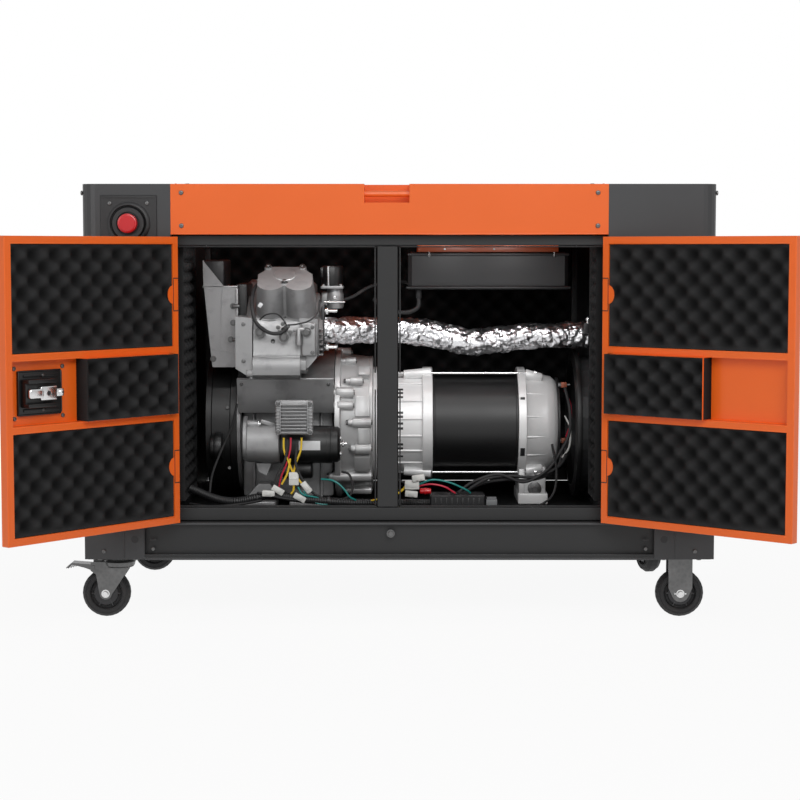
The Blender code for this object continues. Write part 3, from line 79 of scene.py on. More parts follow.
def door_place(name, side):
    """The frame of a door as it stands open, from its hinge."""
    row = joint(name)
    pin = Vector((row["pos_m"][0], row["pos_m"][1], 0))
    return Matrix.Translation(pin) @ Matrix.Rotation(side * math.radians(row["range_deg"][1]), 4, "Z")


base_low, base_high = corners("base_frame")
CANOPY = Matrix.Translation(((base_low.x + base_high.x) / 2, base_low.y, 0))
LEFT_DOOR = door_place("left_door_hinge", -1)
RIGHT_DOOR = door_place("right_door_hinge", 1)
HALF = (base_high.x - base_low.x) / 2
DEPTH = base_high.y - base_low.y
DECK = base_high.z
ROOF = corners("left_cowl")[1].z
STATOR_LOW, STATOR_HIGH = corners("alternator_stator", CANOPY)
AXIS = (STATOR_LOW + STATOR_HIGH) / 2
BAY_LEFT = corners("left_wall_foam", CANOPY)[0].x
BAY_RIGHT = corners("right_wall_foam", CANOPY)[1].x
CYLINDER = CANOPY @ Matrix.Translation((0, AXIS.y, AXIS.z)) @ Matrix.Rotation(math.radians(30), 4, "X")


# Settings


def length(name, text, value, low=0.0, high=5.0):
    return FloatProperty(name=name, description=text, default=value, min=low, max=high, unit="LENGTH")


def colour(name, text, value):
    return FloatVectorProperty(
        name=name, description=text, default=value, min=0.0, max=1.0, size=3, subtype="COLOR"
    )


class WelderStageSettings(bpy.types.PropertyGroup):
    key_power: FloatProperty(name="Key", description="Power of the main lamp", default=64.0, unit="POWER")
    fill_power: FloatProperty(name="Fill", description="Power of the fill lamp", default=24.0, unit="POWER")
    roof_power: FloatProperty(
        name="Roof lamps", description="Power of each small lamp under the canopy's roof", default=0.16,
        min=0.0, unit="POWER"
    )
    bay_power: FloatProperty(
        name="Bay", description="Power of the lamp that faces the open bays", default=46.0, unit="POWER"
    )
    sky: FloatProperty(name="Sky", description="Strength of the even light", default=0.24, min=0.0)
    lens: FloatProperty(name="Lens", description="Focal length in millimetres", default=87.49)


class WelderPaintSettings(bpy.types.PropertyGroup):
    orange: colour("Orange", "Powder coat of the doors and the roof", (0.9, 0.143, 0.011))
    charcoal: colour("Charcoal", "Powder coat of the canopy and the base", (0.037, 0.038, 0.04))
    foam: colour("Foam", "Sound-proofing foam", (0.0135, 0.0135, 0.0138))
    alloy: colour("Alloy", "Cast engine parts", (0.31, 0.31, 0.313))
    enamel: colour("Enamel", "Black enamelled housings", (0.005, 0.005, 0.0053))
    plastic: colour("Plastic", "Moulded black plastic", (0.014, 0.014, 0.015))
    rubber: colour("Rubber", "Wheels and hoses", (0.013, 0.013, 0.014))
    red: colour("Red", "Emergency stop button", (0.62, 0.008, 0.014))


class WelderFoamSettings(bpy.types.PropertyGroup):
    pitch_across: length("Pitch across", "Distance between two humps along the pad", 0.053)
    pitch_up: length("Pitch up", "Distance between two humps up the pad", 0.049)
    relief: length("Relief", "Height of a hump over the dip beside it", 0.019)
    border: FloatProperty(
        name="Border", description="Width of the full-height border round a pad", default=0.016, min=0.004,
        unit="LENGTH", subtype="DISTANCE"
    )
    step: length("Mesh step", "Distance between two points of the pad's mesh", 0.004)


class WelderExhaustSettings(bpy.types.PropertyGroup):
    creases: length("Crease depth", "Depth of the dents in the foil wrap", 0.006)
    seed: IntProperty(name="Seed", description="Chooses the pattern of dents", default=7)


class WelderSettings(bpy.types.PropertyGroup):
    stage: PointerProperty(type=WelderStageSettings, name="Stage", description="Lamps and camera")
    paint: PointerProperty(type=WelderPaintSettings, name="Paint", description="Colours of the finishes")
    foam: PointerProperty(type=WelderFoamSettings, name="Foam", description="Shape of the foam pads")
    exhaust: PointerProperty(type=WelderExhaustSettings, name="Exhaust", description="Foil wrap")


def settings():
    return bpy.context.scene.welder


# Finishes


class Shade:
    """A socket of a shader tree. Arithmetic on it adds Math nodes, and node() adds any other kind."""

    def __init__(self, tree, socket=None):
        self.tree, self.socket = tree, socket

    def node(self, kind, values, inputs, output=0):
        made = self.tree.nodes.new("ShaderNode" + kind)
        for name, value in values.items():
            if name == "stops":
                ramp = made.color_ramp
                while len(ramp.elements) < len(value):
                    ramp.elements.new(1.0)
                for stop, (place, level) in zip(ramp.elements, value):
                    stop.position, stop.color = place, (level, level, level, 1.0)
            else:
                setattr(made, name, value)
        for name, value in inputs.items():
            if isinstance(value, Shade):
                self.tree.links.new(value.socket, made.inputs[name])
            else:
                made.inputs[name].default_value = value
        return Shade(self.tree, made.outputs[output])

    def maths(self, operation, first, second):
        return self.node("Math", {"operation": operation}, {0: first, 1: second})

    def __add__(self, other):
        return self.maths("ADD", self, other)

    def __sub__(self, other):
        return self.maths("SUBTRACT", self, other)

    def __rsub__(self, other):
        return self.maths("SUBTRACT", other, self)

    def __mul__(self, other):
        return self.maths("MULTIPLY", self, other)

    __radd__, __rmul__ = __add__, __mul__

    def mixed(self, first, second):
        """The colour between two, by this socket's value."""
        return self.node("Mix", {"data_type": "RGBA"}, {0: self, 6: first, 7: second}, 2)


def start_finish(name):
    made = bpy.data.materials.new(f"{name}_finish")
    made.use_nodes = True
    tree = made.node_tree
    shader = tree.nodes["Principled BSDF"]
    spot = Shade(tree).node("TexCoord", {}, {}, 3)
    return made, shader, spot


def drive(shader, **sockets):
    """Sets or links the shader's sockets, named with _ for a space."""
    for name, value in sockets.items():
        socket = shader.inputs[name.replace("_", " ")]
        if isinstance(value, Shade):
            value.tree.links.new(value.socket, socket)
        else:
            socket.default_value = value


def grain(spot, scale, detail=3.0, stretch=(1, 1, 1)):
    if stretch != (1, 1, 1):
        spot = spot.node("Mapping", {}, {"Vector": spot, "Scale": stretch})
    return spot.node("TexNoise", {}, {"Vector": spot, "Scale": scale, "Detail": detail})


def bump(height, depth, strength=1.0):
    return height.node("Bump", {}, {"Height": height, "Distance": depth, "Strength": strength})


def tone(rgb, share):
    return (*[min(1.0, part * share) for part in rgb], 1.0)


def common(name, rgb, rough, metal, drift=0.08, fine=700.0, depth=0.00012, coat=0.0, stretch=(1, 1, 1)):
    """A finish whose colour and gloss drift slowly, with a fine grain on its surface."""
    made, shader, spot = start_finish(name)
    broad = grain(spot, 7.0, 4.0)
    fine_grain = grain(spot, fine, 2.0, stretch)
    drive(
        shader,
        Base_Color=broad.mixed(tone(rgb, 1 - drift), tone(rgb, 1 + drift)),
        Roughness=rough + (broad - 0.5) * 0.12 + (fine_grain - 0.5) * 0.1,
        Metallic=metal,
        Coat_Weight=coat,
        Normal=bump(fine_grain, depth),
    )
    return made


def foam_finish():
    made, shader, spot = start_finish("acoustic_foam")
    rgb = tuple(settings().paint.foam)
    pores = spot.node("TexVoronoi", {}, {"Vector": spot, "Scale": 520.0})
    speck = grain(spot, 900.0, 2.0)
    hump = spot.node("Attribute", {"attribute_name": "hump"}, {}, "Fac")
    # Painted shade and light: the base colour runs from dark in the dips to light on the crests, by the hump height
    # stored on each point, with a little random speckle.
    drive(
        shader,
        Base_Color=(speck * 0.16 + hump * 0.84).mixed(tone(rgb, 0.45), tone(rgb, 3.1)),
        Roughness=0.95,
        Specular_IOR_Level=0.06,
        Normal=bump(pores + speck * 0.6, 0.0007),
    )
    return made


def cast_finish():
    made, shader, spot = start_finish("cast_alloy")
    rgb = tuple(settings().paint.alloy)
    broad, sand, grime = grain(spot, 9.0, 4.0), grain(spot, 650.0, 2.0), grain(spot, 34.0, 6.0)
    dirt = grime.node("ValToRGB", {"stops": [(0.52, 0.0), (0.74, 0.55)]}, {"Fac": grime})
    clean = broad.mixed(tone(rgb, 0.9), tone(rgb, 1.08))
    drive(
        shader,
        Base_Color=dirt.node("Mix", {"data_type": "RGBA"}, {0: dirt, 6: clean, 7: tone(rgb, 0.55)}, 2),
        Roughness=0.3 + broad * 0.1 + sand * 0.1,
        Metallic=0.55,
        Normal=bump(sand, 0.0004),
    )
    return made


def foil_finish():
    made, shader, spot = start_finish("foil")
    crease = spot.node("TexVoronoi", {"feature": "DISTANCE_TO_EDGE"}, {"Vector": spot, "Scale": 46.0})
    sharp = spot.node("TexVoronoi", {}, {"Vector": spot, "Scale": 60.0})
    ripple = grain(spot, 55.0, 5.0)
    drive(
        shader,
        Base_Color=ripple.mixed((0.62, 0.62, 0.64, 1), (0.92, 0.92, 0.94, 1)),
        Roughness=0.2 + ripple * 0.2,
        Metallic=1.0,
        Normal=bump(crease * 1.4 + sharp * 0.5 + ripple * 0.5, 0.003),
    )
    return made


def zinc_finish():
    made, shader, spot = start_finish("zinc_steel")
    flakes = spot.node("TexVoronoi", {}, {"Vector": spot, "Scale": 130.0})
    cloud, lines = grain(spot, 25.0, 4.0), grain(spot, 260.0, 3.0, (1.0, 0.12, 1.0))
    drive(
        shader,
        Base_Color=(cloud * 0.7 + flakes * 0.3).mixed((0.08, 0.08, 0.08, 1), (0.22, 0.22, 0.22, 1)),
        Roughness=0.24 + cloud * 0.12 + lines * 0.06,
        Metallic=0.8,
        Normal=bump(lines, 0.0001),
    )
    return made


def rubber_finish():
    made, shader, spot = start_finish("wheel_rubber")
    rgb = tuple(settings().paint.rubber)
    dust, pebble = grain(spot, 30.0, 6.0), grain(spot, 800.0, 2.0)
    powder = dust.node("ValToRGB", {"stops": [(0.48, 0.0), (0.8, 0.35)]}, {"Fac": dust})
    drive(
        shader,
        Base_Color=powder.mixed(tone(rgb, 1.0), (0.085, 0.08, 0.075, 1)),
        Roughness=0.55 + dust * 0.25,
        Normal=bump(pebble, 0.0002),
    )
    return made


def plain(name, rgb, rough, metal=0.0, **more):
    return lambda: common(name, rgb, rough, metal, **more)


def paint(name):
    return tuple(getattr(settings().paint, name))


FINISHES = {
    "orange_paint": lambda: common("orange_paint", paint("orange"), 0.36, 0.0, 0.03, 900.0, 0.00006, 0.12),
    "charcoal_paint": lambda: common("charcoal_paint", paint("charcoal"), 0.42, 0.0, 0.12, 900.0, 0.0001,
        0.08),
    "frame_paint": lambda: common("frame_paint", tone(paint("charcoal"), 0.22)[:3], 0.46, 0.0, 0.12, 900.0,
        0.0001),
    "pale_cast": lambda: common("pale_cast", (0.6, 0.6, 0.6), 0.34, 0.35, 0.07, 650.0, 0.0002),
    "bright_cast": lambda: common("bright_cast", (0.8, 0.8, 0.8), 0.36, 0.18, 0.05, 650.0, 0.0002),
    # A darker copy of the orange paint: painted shade for the tank rail, which sits in shadow under the roof.
    "strip_paint": lambda: common("strip_paint", tone(paint("orange"), 0.22)[:3], 0.4, 0.0),
    "acoustic_foam": foam_finish,
    "cast_alloy": cast_finish,
    "zinc_steel": zinc_finish,
    "black_enamel": lambda: common("black_enamel", paint("enamel"), 0.42, 0.0, 0.05, 500.0, 0.00005),
    "black_plastic": lambda: common("black_plastic", paint("plastic"), 0.44, 0.0, 0.15, 1100.0, 0.0002),
    "wheel_rubber": rubber_finish,
    "foil": foil_finish,
    "red_plastic": lambda: common("red_plastic", paint("red"), 0.28, 0.0, 0.06, 900.0, 0.00005, 0.4),
    "grey_plastic": plain("grey_plastic", (0.16, 0.165, 0.17), 0.4, 0.0),
    "white_nylon": plain("white_nylon", (0.72, 0.72, 0.69), 0.42, 0.0),
    "label_stock": plain("label_stock", (0.66, 0.67, 0.68), 0.35, 0.0, fine=300.0, depth=0.00003),
    "yellow_sheath": plain("yellow_sheath", (0.75, 0.5, 0.02), 0.4, 0.0),
    "teal_sheath": plain("teal_sheath", (0.01, 0.22, 0.2), 0.4, 0.0),
    "red_sheath": plain("red_sheath", (0.55, 0.02, 0.05), 0.4, 0.0),
    "copper": plain("copper", (0.3, 0.08, 0.04), 0.4, 0.2),
    "brass": plain("brass", (0.7, 0.52, 0.25), 0.28, 0.95),
    "turned_steel": plain("turned_steel", (0.72, 0.72, 0.72), 0.2, 1.0, stretch=(1.0, 0.05, 1.0)),
    "dark_steel": plain("dark_steel", (0.035, 0.035, 0.037), 0.38, 0.4),
}


def finish(name):
    return bpy.data.materials.get(f"{name}_finish") or FINISHES[name]()


# Shapes


def facing(axis):
    return Vector(axis).to_track_quat("Z", "Y").to_matrix().to_4x4()


def smooth_route(points, step=0.006):
    """Points along a Catmull-Rom curve through the given ones."""
    points = [Vector(point) for point in points]
    ends = [points[0] * 2 - points[1], *points, points[-1] * 2 - points[-2]]
    line = []
    for before, here, after, beyond in zip(ends, ends[1:], ends[2:], ends[3:]):
        count = max(2, round((after - here).length / step))
        for index in range(count):
            t = index / count
            pull = (after - before) * t + (before * 2 - here * 5 + after * 4 - beyond) * t**2
            line.append(here + (pull + (here * 3 - before - after * 3 + beyond) * t**3) / 2)
    return [*line, points[-1]]


class Mould:
    """Gathers solid shapes into one mesh, measured in the frame that it is given."""

    def __init__(self, place=CANOPY):
        self.form, self.place = bmesh.new(), place

    def eased(self, verts, width, steps=2):
        if width > 0:
            edges = {edge for vert in verts for edge in vert.link_edges}
            sharp = [edge for edge in edges if edge.calc_face_angle(0.0) > 0.55]
            bmesh.ops.bevel(
                self.form, geom=sharp, offset=width, segments=steps, profile=0.5, affect="EDGES",
                clamp_overlap=True,
            )
        return self

    def block(self, low, high, width=0.0, turn=None, steps=2):
        low, high = Vector(low), Vector(high)
        place = Matrix.Translation((low + high) / 2) @ (turn or Matrix())
        place = place @ Matrix.Diagonal((*(high - low), 1.0))
        made = bmesh.ops.create_cube(self.form, size=1.0, matrix=place)
        return self.eased(made["verts"], width, steps)

    def rod(self, start, end, radius, far=None, sides=24, width=0.0, steps=2):
        start, end = Vector(start), Vector(end)
        made = bmesh.ops.create_cone(
            self.form, cap_ends=True, segments=sides, radius1=radius,
            radius2=radius if far is None else far, depth=(end - start).length,
            matrix=Matrix.Translation((start + end) / 2) @ facing(end - start),
        )
        return self.eased(made["verts"], width, steps)

    def ring_faces(self, rings, closed=False):
        pairs = list(zip(rings, rings[1:])) + ([(rings[-1], rings[0])] if closed else [])
        for first, second in pairs:
            count = len(first)
            for k in range(count):
                self.form.faces.new((first[k], first[(k + 1) % count], second[(k + 1) % count], second[k]))
        if not closed:
            self.form.faces.new(list(reversed(rings[0])))
            self.form.faces.new(rings[-1])
        return self

    def lathe(self, start, axis, profile, sides=48, closed=False):
        """Turns (radius, distance) pairs about an axis."""
        place = Matrix.Translation(start) @ facing(axis)
        rings = []
        for radius, height in profile:
            turns = [2 * math.pi * k / sides for k in range(sides)]
            rings.append([
                self.form.verts.new(place @ Vector((radius * math.cos(a), radius * math.sin(a), height)))
                for a in turns
            ])
        return self.ring_faces(rings, closed)

    def prism(self, outline, low, high, axes="XY", width=0.0, top=1.0, steps=2):
        """Draws an outline out along the third axis. top is the far end's size against the near one's."""
        across, up = ("XYZ".index(letter) for letter in axes)
        along = 3 - across - up
        middle = [sum(point[i] for point in outline) / len(outline) for i in (0, 1)]
        rings = []
        for level, share in ((low, 1.0), (high, top)):
            ring = []
            for point in outline:
                spot = [0.0, 0.0, 0.0]
                spot[across] = middle[0] + (point[0] - middle[0]) * share
                spot[up] = middle[1] + (point[1] - middle[1]) * share
                spot[along] = level
                ring.append(self.form.verts.new(spot))
            rings.append(ring)
        self.ring_faces(rings)
        return self.eased([vert for ring in rings for vert in ring], width, steps)

    def tube(self, route, radius, sides=10, step=0.006, corrugated=0.0):
        """A round tube along a smooth curve. A corrugated one has rings of that depth."""
        line = smooth_route(route, 0.0016 if corrugated else step)
        rings, side = [], None
        for index, point in enumerate(line):
            ahead = (line[min(index + 1, len(line) - 1)] - line[max(index - 1, 0)]).normalized()
            if side is None:
                side = ahead.orthogonal().normalized()
            side = (side - ahead * side.dot(ahead)).normalized()
            other = ahead.cross(side)
            size = radius + (corrugated if index % 3 == 1 else 0.0)
            rings.append([
                self.form.verts.new(
                    point
                    + side * size * math.cos(2 * math.pi * k / sides)
                    + other * size * math.sin(2 * math.pi * k / sides)
                )
                for k in range(sides)
            ])
        return self.ring_faces(rings)

    def bolt(self, spot, axis, size=0.005, washer=True):
        """A hexagon head on a washer that lies on the surface at spot."""
        spot, axis = Vector(spot), Vector(axis).normalized()
        if washer:
            self.rod(spot, spot + axis * size * 0.22, size * 1.35, sides=20)
            spot = spot + axis * size * 0.22
        return self.rod(spot, spot + axis * size * 0.75, size, sides=6, width=size * 0.12, steps=1)

    def screw(self, spot, axis, size=0.004):
        """A domed head with a hexagon socket."""
        profile = [(size, 0.0), (size, size * 0.35), (size * 0.8, size * 0.62), (size * 0.5, size * 0.7)]
        profile += [(size * 0.42, size * 0.7), (size * 0.4, size * 0.3), (size * 0.02, size * 0.3)]
        return self.lathe(spot, axis, profile, 18)

    def made(self, name, body, slot, look=None, angle=32.0):
        """The gathered shapes as one piece that rides on a body."""
        bmesh.ops.recalc_face_normals(self.form, faces=self.form.faces)
        mesh = bpy.data.meshes.new(name)
        self.form.to_mesh(mesh)
        self.form.free()
        mesh.transform(self.place)
        mesh.shade_smooth()
        mesh.set_sharp_from_angle(angle=math.radians(angle))
        mesh.materials.append(finish(look or slot))
        piece = bpy.data.objects.new(name, mesh)
        bpy.context.scene.collection.objects.link(piece)
        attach(piece, body)
        return piece


def arc(centre, radius, first, last, count):
    turns = [math.radians(first + (last - first) * k / count) for k in range(count + 1)]
    return [(centre[0] + radius * math.cos(a), centre[1] + radius * math.sin(a)) for a in turns]


# Stage


class WELDER_OT_stage(bpy.types.Operator):
    """Adds the floor, the lamps, the even light and the camera"""

    bl_idname = "welder.stage"
    bl_label = "Stage"

    def execute(self, context):
        choice = settings().stage
        scene = context.scene
        scene.view_settings.view_transform = "Standard"
        self.floor()
        world = bpy.data.worlds.new("studio")
        scene.world = world
        world.use_nodes = True
        tree = world.node_tree
        rays = Shade(tree).node("LightPath", {}, {})
        seen = rays + Shade(tree, rays.socket.node.outputs["Is Glossy Ray"]) * 0.6
        tree.links.new((seen * (1.0 - choice.sky) + choice.sky).socket,
            tree.nodes["Background"].inputs["Strength"])
        tree.nodes["Background"].inputs["Color"].default_value = (1.0, 1.0, 1.0, 1.0)
        self.lamp("key_lamp", (1.7, -4.2, 3.0), (0.0, 0.1, 0.45), 2.4, choice.key_power)
        self.lamp("fill_lamp", (-2.6, -3.8, 1.7), (-0.1, 0.1, 0.5), 2.0, choice.fill_power)
        self.lamp("bay_lamp", (0.1, -4.0, 2.9), (0.0, 0.2, 0.45), 2.2, choice.bay_power)
        for x in (-0.34, -0.2, -0.1, 0.1, 0.24):
            self.lamp(f"roof_lamp_{round(x * 100)}", (x, -0.115, 0.792), (x, 0.1, 0.5), 0.03,
                choice.roof_power)
        self.lamp("rear_lamp", (-1.6, 3.6, 2.8), (0.0, 0.2, 0.45), 2.4, choice.fill_power)
        camera = bpy.data.objects.new("camera", bpy.data.cameras.new("camera"))
        scene.collection.objects.link(camera)
        scene.camera = camera
        camera.location = CANOPY @ Vector((0.0012, -3.98, 0.7698))
        camera.rotation_euler = (math.radians(90 - 4.319), 0.0, 0.0)
        camera.data.sensor_width = 36.0
        camera.data.lens = choice.lens
        camera.data.shift_y = -0.0047
        return {"FINISHED"}

    def floor(self):
        mesh = bpy.data.meshes.new("floor")
        form = bmesh.new()
        bmesh.ops.create_grid(form, x_segments=2, y_segments=2, size=30.0)
        form.to_mesh(mesh)
        form.free()
        made = bpy.data.materials.new("floor")
        made.use_nodes = True
        tree = made.node_tree
        tree.nodes.remove(tree.nodes["Principled BSDF"])
        rays = Shade(tree).node("LightPath", {}, {})
        seen = rays + Shade(tree, rays.socket.node.outputs["Is Glossy Ray"])
        matt = seen.node("BsdfDiffuse", {}, {"Color": (0.8, 0.8, 0.8, 1.0)})
        white = seen.node("Emission", {}, {"Color": (1.0, 1.0, 1.0, 1.0), "Strength": 1.0})
        mixed = seen.node("MixShader", {}, {0: seen * 0.93, 1: matt, 2: white})
        tree.links.new(mixed.socket, tree.nodes["Material Output"].inputs["Surface"])
        mesh.materials.append(made)
        floor = bpy.data.objects.new("floor", mesh)
        bpy.context.scene.collection.objects.link(floor)

    def lamp(self, name, spot, aim, size, power):
        data = bpy.data.lights.new(name, "AREA")
        data.shape, data.size, data.energy = "DISK", size, power
        lamp = bpy.data.objects.new(name, data)
        lamp.location = spot
        lamp.rotation_euler = (Vector(aim) - Vector(spot)).to_track_quat("-Z", "Y").to_euler()
        bpy.context.scene.collection.objects.link(lamp)


class WELDER_OT_finishes(bpy.types.Operator):
    """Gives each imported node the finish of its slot"""

    bl_idname = "welder.finishes"
    bl_label = "Finishes"

    def execute(self, context):
        for row in frame["record"]["subparts"]:
            node = frame["nodes"][row["node"]]
            node.data.materials.clear()
            framing = row["node"] in ("base_frame", "sill", "centre_post", "upper_rail")
            node.data.materials.append(finish("frame_paint" if framing else row["material_slot"]))
        return {"FINISHED"}


# Foam


def egg_crate(name, node, body, place, normal, sign):
    """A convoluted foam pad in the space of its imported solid. Its humps point along the normal axis."""
    shape = settings().foam
    low, high = corners(node, place)
    across, up = [axis for axis in range(3) if axis != normal]
    thick = high[normal] - low[normal]
    relief = min(shape.relief, thick * 0.88) / 2
    sizes = (high[across] - low[across], high[up] - low[up])
    counts = [max(4, round((high[axis] - low[axis]) / shape.step)) for axis in (across, up)]
    mould = Mould(place)
    hump = mould.form.verts.layers.float.new("hump")
    sheets = []
    for level in (0, 1):
        rows = []
        for i in range(counts[0] + 1):
            row = []
            for j in range(counts[1] + 1):
                u = low[across] + (high[across] - low[across]) * i / counts[0]
                v = low[up] + (high[up] - low[up]) * j / counts[1]
                height = 0.0
                if level:
                    wave = math.cos(2 * math.pi * u / shape.pitch_across) * math.cos(2 * math.pi * v / shape.pitch_up)
                    drift = noise.noise(Vector((u * 30, v * 30, low[normal] * 9))) * 0.0006
                    height = thick - relief - 0.0006 + relief * math.copysign(abs(wave) ** 0.85,
                        wave) + drift
                    border = min(sizes[0] * min(i, counts[0] - i) / counts[0],
                        sizes[1] * min(j, counts[1] - j) / counts[1])
                    share = max(0.0, 1.0 - border / shape.border) ** 2
                    height += (thick - 0.0012 - height) * share
                spot = Vector((0, 0, 0))
                spot[across], spot[up] = u, v
                spot[normal] = (low[normal] + height) if sign > 0 else (high[normal] - height)
                point = mould.form.verts.new(spot)
                # Each point keeps its hump height, from 0 in a dip to 1 on a crest, for the foam's painted shade and
                # light.
                point[hump] = max(0.0, min(1.0, (height - thick + 2 * relief) / (2 * relief)))
                row.append(point)
            rows.append(row)
        sheets.append(rows)
    for rows in sheets:
        for i in range(counts[0]):
            for j in range(counts[1]):
                mould.form.faces.new((rows[i][j], rows[i + 1][j], rows[i + 1][j + 1], rows[i][j + 1]))
    near, far = sheets
    border = [(i, 0) for i in range(counts[0])] + [(counts[0], j) for j in range(counts[1])]
    border += [(i, counts[1]) for i in range(counts[0], 0, -1)] + [(0, j) for j in range(counts[1], 0, -1)]
    for (a, b), (c, d) in zip(border, border[1:] + border[:1]):
        mould.form.faces.new((near[a][b], near[c][d], far[c][d], far[a][b]))
    pad = mould.made(name, body, "acoustic_foam", angle=60.0)
    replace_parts(pad, node)
    return pad


class WELDER_OT_foam(bpy.types.Operator):
    """Adds the egg-crate foam on the doors and the walls"""

    bl_idname = "welder.foam"
    bl_label = "Foam"

    def execute(self, context):
        for side, place in (("left", LEFT_DOOR), ("right", RIGHT_DOOR)):
            for bay in ("bottom", "block", "top"):
                node = f"{side}_door_foam_{bay}"
                egg_crate(f"{side}_door_{bay}_pad", node, f"{side}_door", place, 1, 1)
        egg_crate("left_wall_pad", "left_wall_foam", "canopy", CANOPY, 0, 1)
        egg_crate("right_wall_pad", "right_wall_foam", "canopy", CANOPY, 0, -1)
        egg_crate("rear_wall_pad", "rear_wall_foam", "canopy", CANOPY, 1, -1)
        rear, seals = corners("rear_wall_foam", CANOPY), Mould()
        for x, side in ((rear[0].x, 1), (rear[1].x, -1)):
            low, high = sorted((x - side * 0.018, x + side * 0.008))
            seals.block((low, rear[0].y - 0.012, rear[0].z), (high, rear[1].y - 0.001, rear[1].z), 0.006)
        seals.block((rear[0].x, rear[0].y - 0.004, rear[0].z - 0.006),
            (rear[1].x, rear[1].y - 0.001, rear[0].z + 0.01), 0.003)
        seals.made("corner_seals", "canopy", "acoustic_foam", "black_plastic")
        return {"FINISHED"}


# Canopy


class WELDER_OT_canopy(bpy.types.Operator):
    """Adds the trim, seams and fixings of the base, the canopy and the roof"""

    bl_idname = "welder.canopy"
    bl_label = "Canopy"

    def execute(self, context):
        self.base()
        self.front()
        self.roof()
        self.ends()
        self.back()
        return {"FINISHED"}

    def base(self):
        plates, holes, fixings = Mould(), Mould(), Mould()
        for side in (-1, 1):
            low, high = sorted((side * 0.526, side * (HALF - 0.0006)))
            for front, rear in ((-0.0016, 0.0002), (DEPTH - 0.0002, DEPTH)):
                plates.block((low, front, 0.1315), (high, rear, DECK - 0.0015), 0.0006)
            plates.block((side * 0.5685 - 0.0012, -0.003, 0.1315), (side * 0.5685 + 0.0012, -0.0014, 0.206),
                0.0005)
            # The holes and the slot are thin black discs and blocks on the face: painted shade where the base is
            # open.
            holes.rod((side * 0.546, -0.0012, 0.173), (side * 0.546, -0.002, 0.173), 0.0075)
            holes.block((side * 0.5085 - 0.006, -0.0006, 0.17), (side * 0.5085 + 0.006, 0.0002, 0.1735),
                0.0005)
            fixings.screw((side * 0.5085, 0.0, 0.153), (0, -1, 0), 0.004)
            fixings.screw((side * 0.61, -0.0016, 0.19), (0, -1, 0), 0.0045)
            fixings.screw((side * 0.61, -0.0016, 0.148), (0, -1, 0), 0.0045)
        plates.block((-0.5255, -0.0016, 0.13), (0.5255, 0.0002, 0.1345), 0.0006)
        plates.block((-0.5255, -0.001, 0.14), (0.5255, 0.0002, 0.1416), 0.0004)
        plates.block((-0.5255, -0.0014, 0.203), (0.5255, 0.0002, 0.2072), 0.0006)
        fixings.bolt((-0.018, 0.0, 0.185), (0, -1, 0), 0.0062)
        plates.made("base_plates", "canopy", "charcoal_paint")
        holes.made("base_holes", "canopy", "black_plastic")
        fixings.made("base_fixings", "canopy", "zinc_steel")

    def front(self):
        low, high = corners("latch_bolt", CANOPY)
        gap = (low.z - 0.004, high.z + 0.004)
        folds = Mould()
        for x in (-0.0376, -0.0129):
            for start, end in ((0.237, gap[0]), (gap[1], 0.777)):
                folds.rod((x, 0.025, start), (x, 0.025, end), 0.0026, sides=12)
        for z in (0.234, 0.78):
            folds.rod((BAY_LEFT + 0.001, 0.024, z), (BAY_RIGHT - 0.001, 0.024, z), 0.0016, sides=10)
        folds.made("frame_folds", "canopy", "charcoal_paint")
        strip = Mould()
        for low, high in ((BAY_LEFT + 0.003, -0.05), (0.002, BAY_RIGHT - 0.003)):
            for z in (0.2372, 0.7742):
                strip.block((low, 0.024, z), (high, 0.033, z + 0.0026), 0.001)
        for x in (-0.05, 0.0012):
            for start, end in ((0.24, gap[0]), (gap[1], 0.774)):
                strip.block((x - 0.0014, 0.024, start), (x + 0.0014, 0.033, end), 0.0008)
        strip.made("door_seals", "canopy", "black_plastic", "wheel_rubber")

    def roof(self):
        folds, fixings = Mould(), Mould()
        for side, edge in ((-1, BAY_LEFT), (1, BAY_RIGHT)):
            folds.block((edge - side * 0.0115, 0.004, ROOF - 0.0008),
                (edge - side * 0.0085, DEPTH - 0.004, ROOF + 0.001), 0.0006)
            for z in (0.818, 0.885):
                for front, axis in ((0.0, -1), (DEPTH, 1)):
                    if axis < 0:
                        fixings.screw((edge - side * 0.022, front, z), (0, axis, 0), 0.0048)
            for y in (0.09, 0.37, 0.65):
                fixings.screw((edge - side * 0.025, y, ROOF), (0, 0, 1), 0.0055)
        folds.block((BAY_LEFT + 0.002, -0.0012, 0.8002), (BAY_RIGHT - 0.002, 0.0004, 0.8026), 0.0006)
        folds.made("roof_folds", "canopy", "orange_paint")
        fixings.made("roof_screws", "canopy", "zinc_steel")
        low, high = corners("fuel_cap", CANOPY)
        middle = (low + high) / 2
        neck = Mould()
        neck.lathe((middle.x, middle.y, ROOF), (0, 0, 1),
            [(0.04, 0.0), (0.04, 0.0004), (0.0325, 0.0006), (0.0325, 0.0)], 64)
        for k in range(4):
            turn = math.radians(45 + 90 * k)
            neck.screw((middle.x + 0.0365 * math.cos(turn), middle.y + 0.0365 * math.sin(turn),
                ROOF + 0.0002), (0, 0, 1), 0.0026)
        neck.made("filler_collar", "canopy", "black_plastic")
        cap = Mould()
        for k in range(24):
            turn = 2 * math.pi * k / 24
            side = Vector((math.cos(turn), math.sin(turn), 0))
            spot = Vector((middle.x, middle.y, 0)) + side * 0.0294
            cap.rod(spot + Vector((0, 0, ROOF + 0.0022)), spot + Vector((0, 0, high.z - 0.0022)), 0.0014,
                sides=8)
        cap.block((middle.x - 0.021, middle.y - 0.0045, high.z - 0.005),
            (middle.x + 0.021, middle.y + 0.0045, high.z - 0.0002), 0.002)
        cap.made("cap_grip", "fuel_cap", "black_plastic")

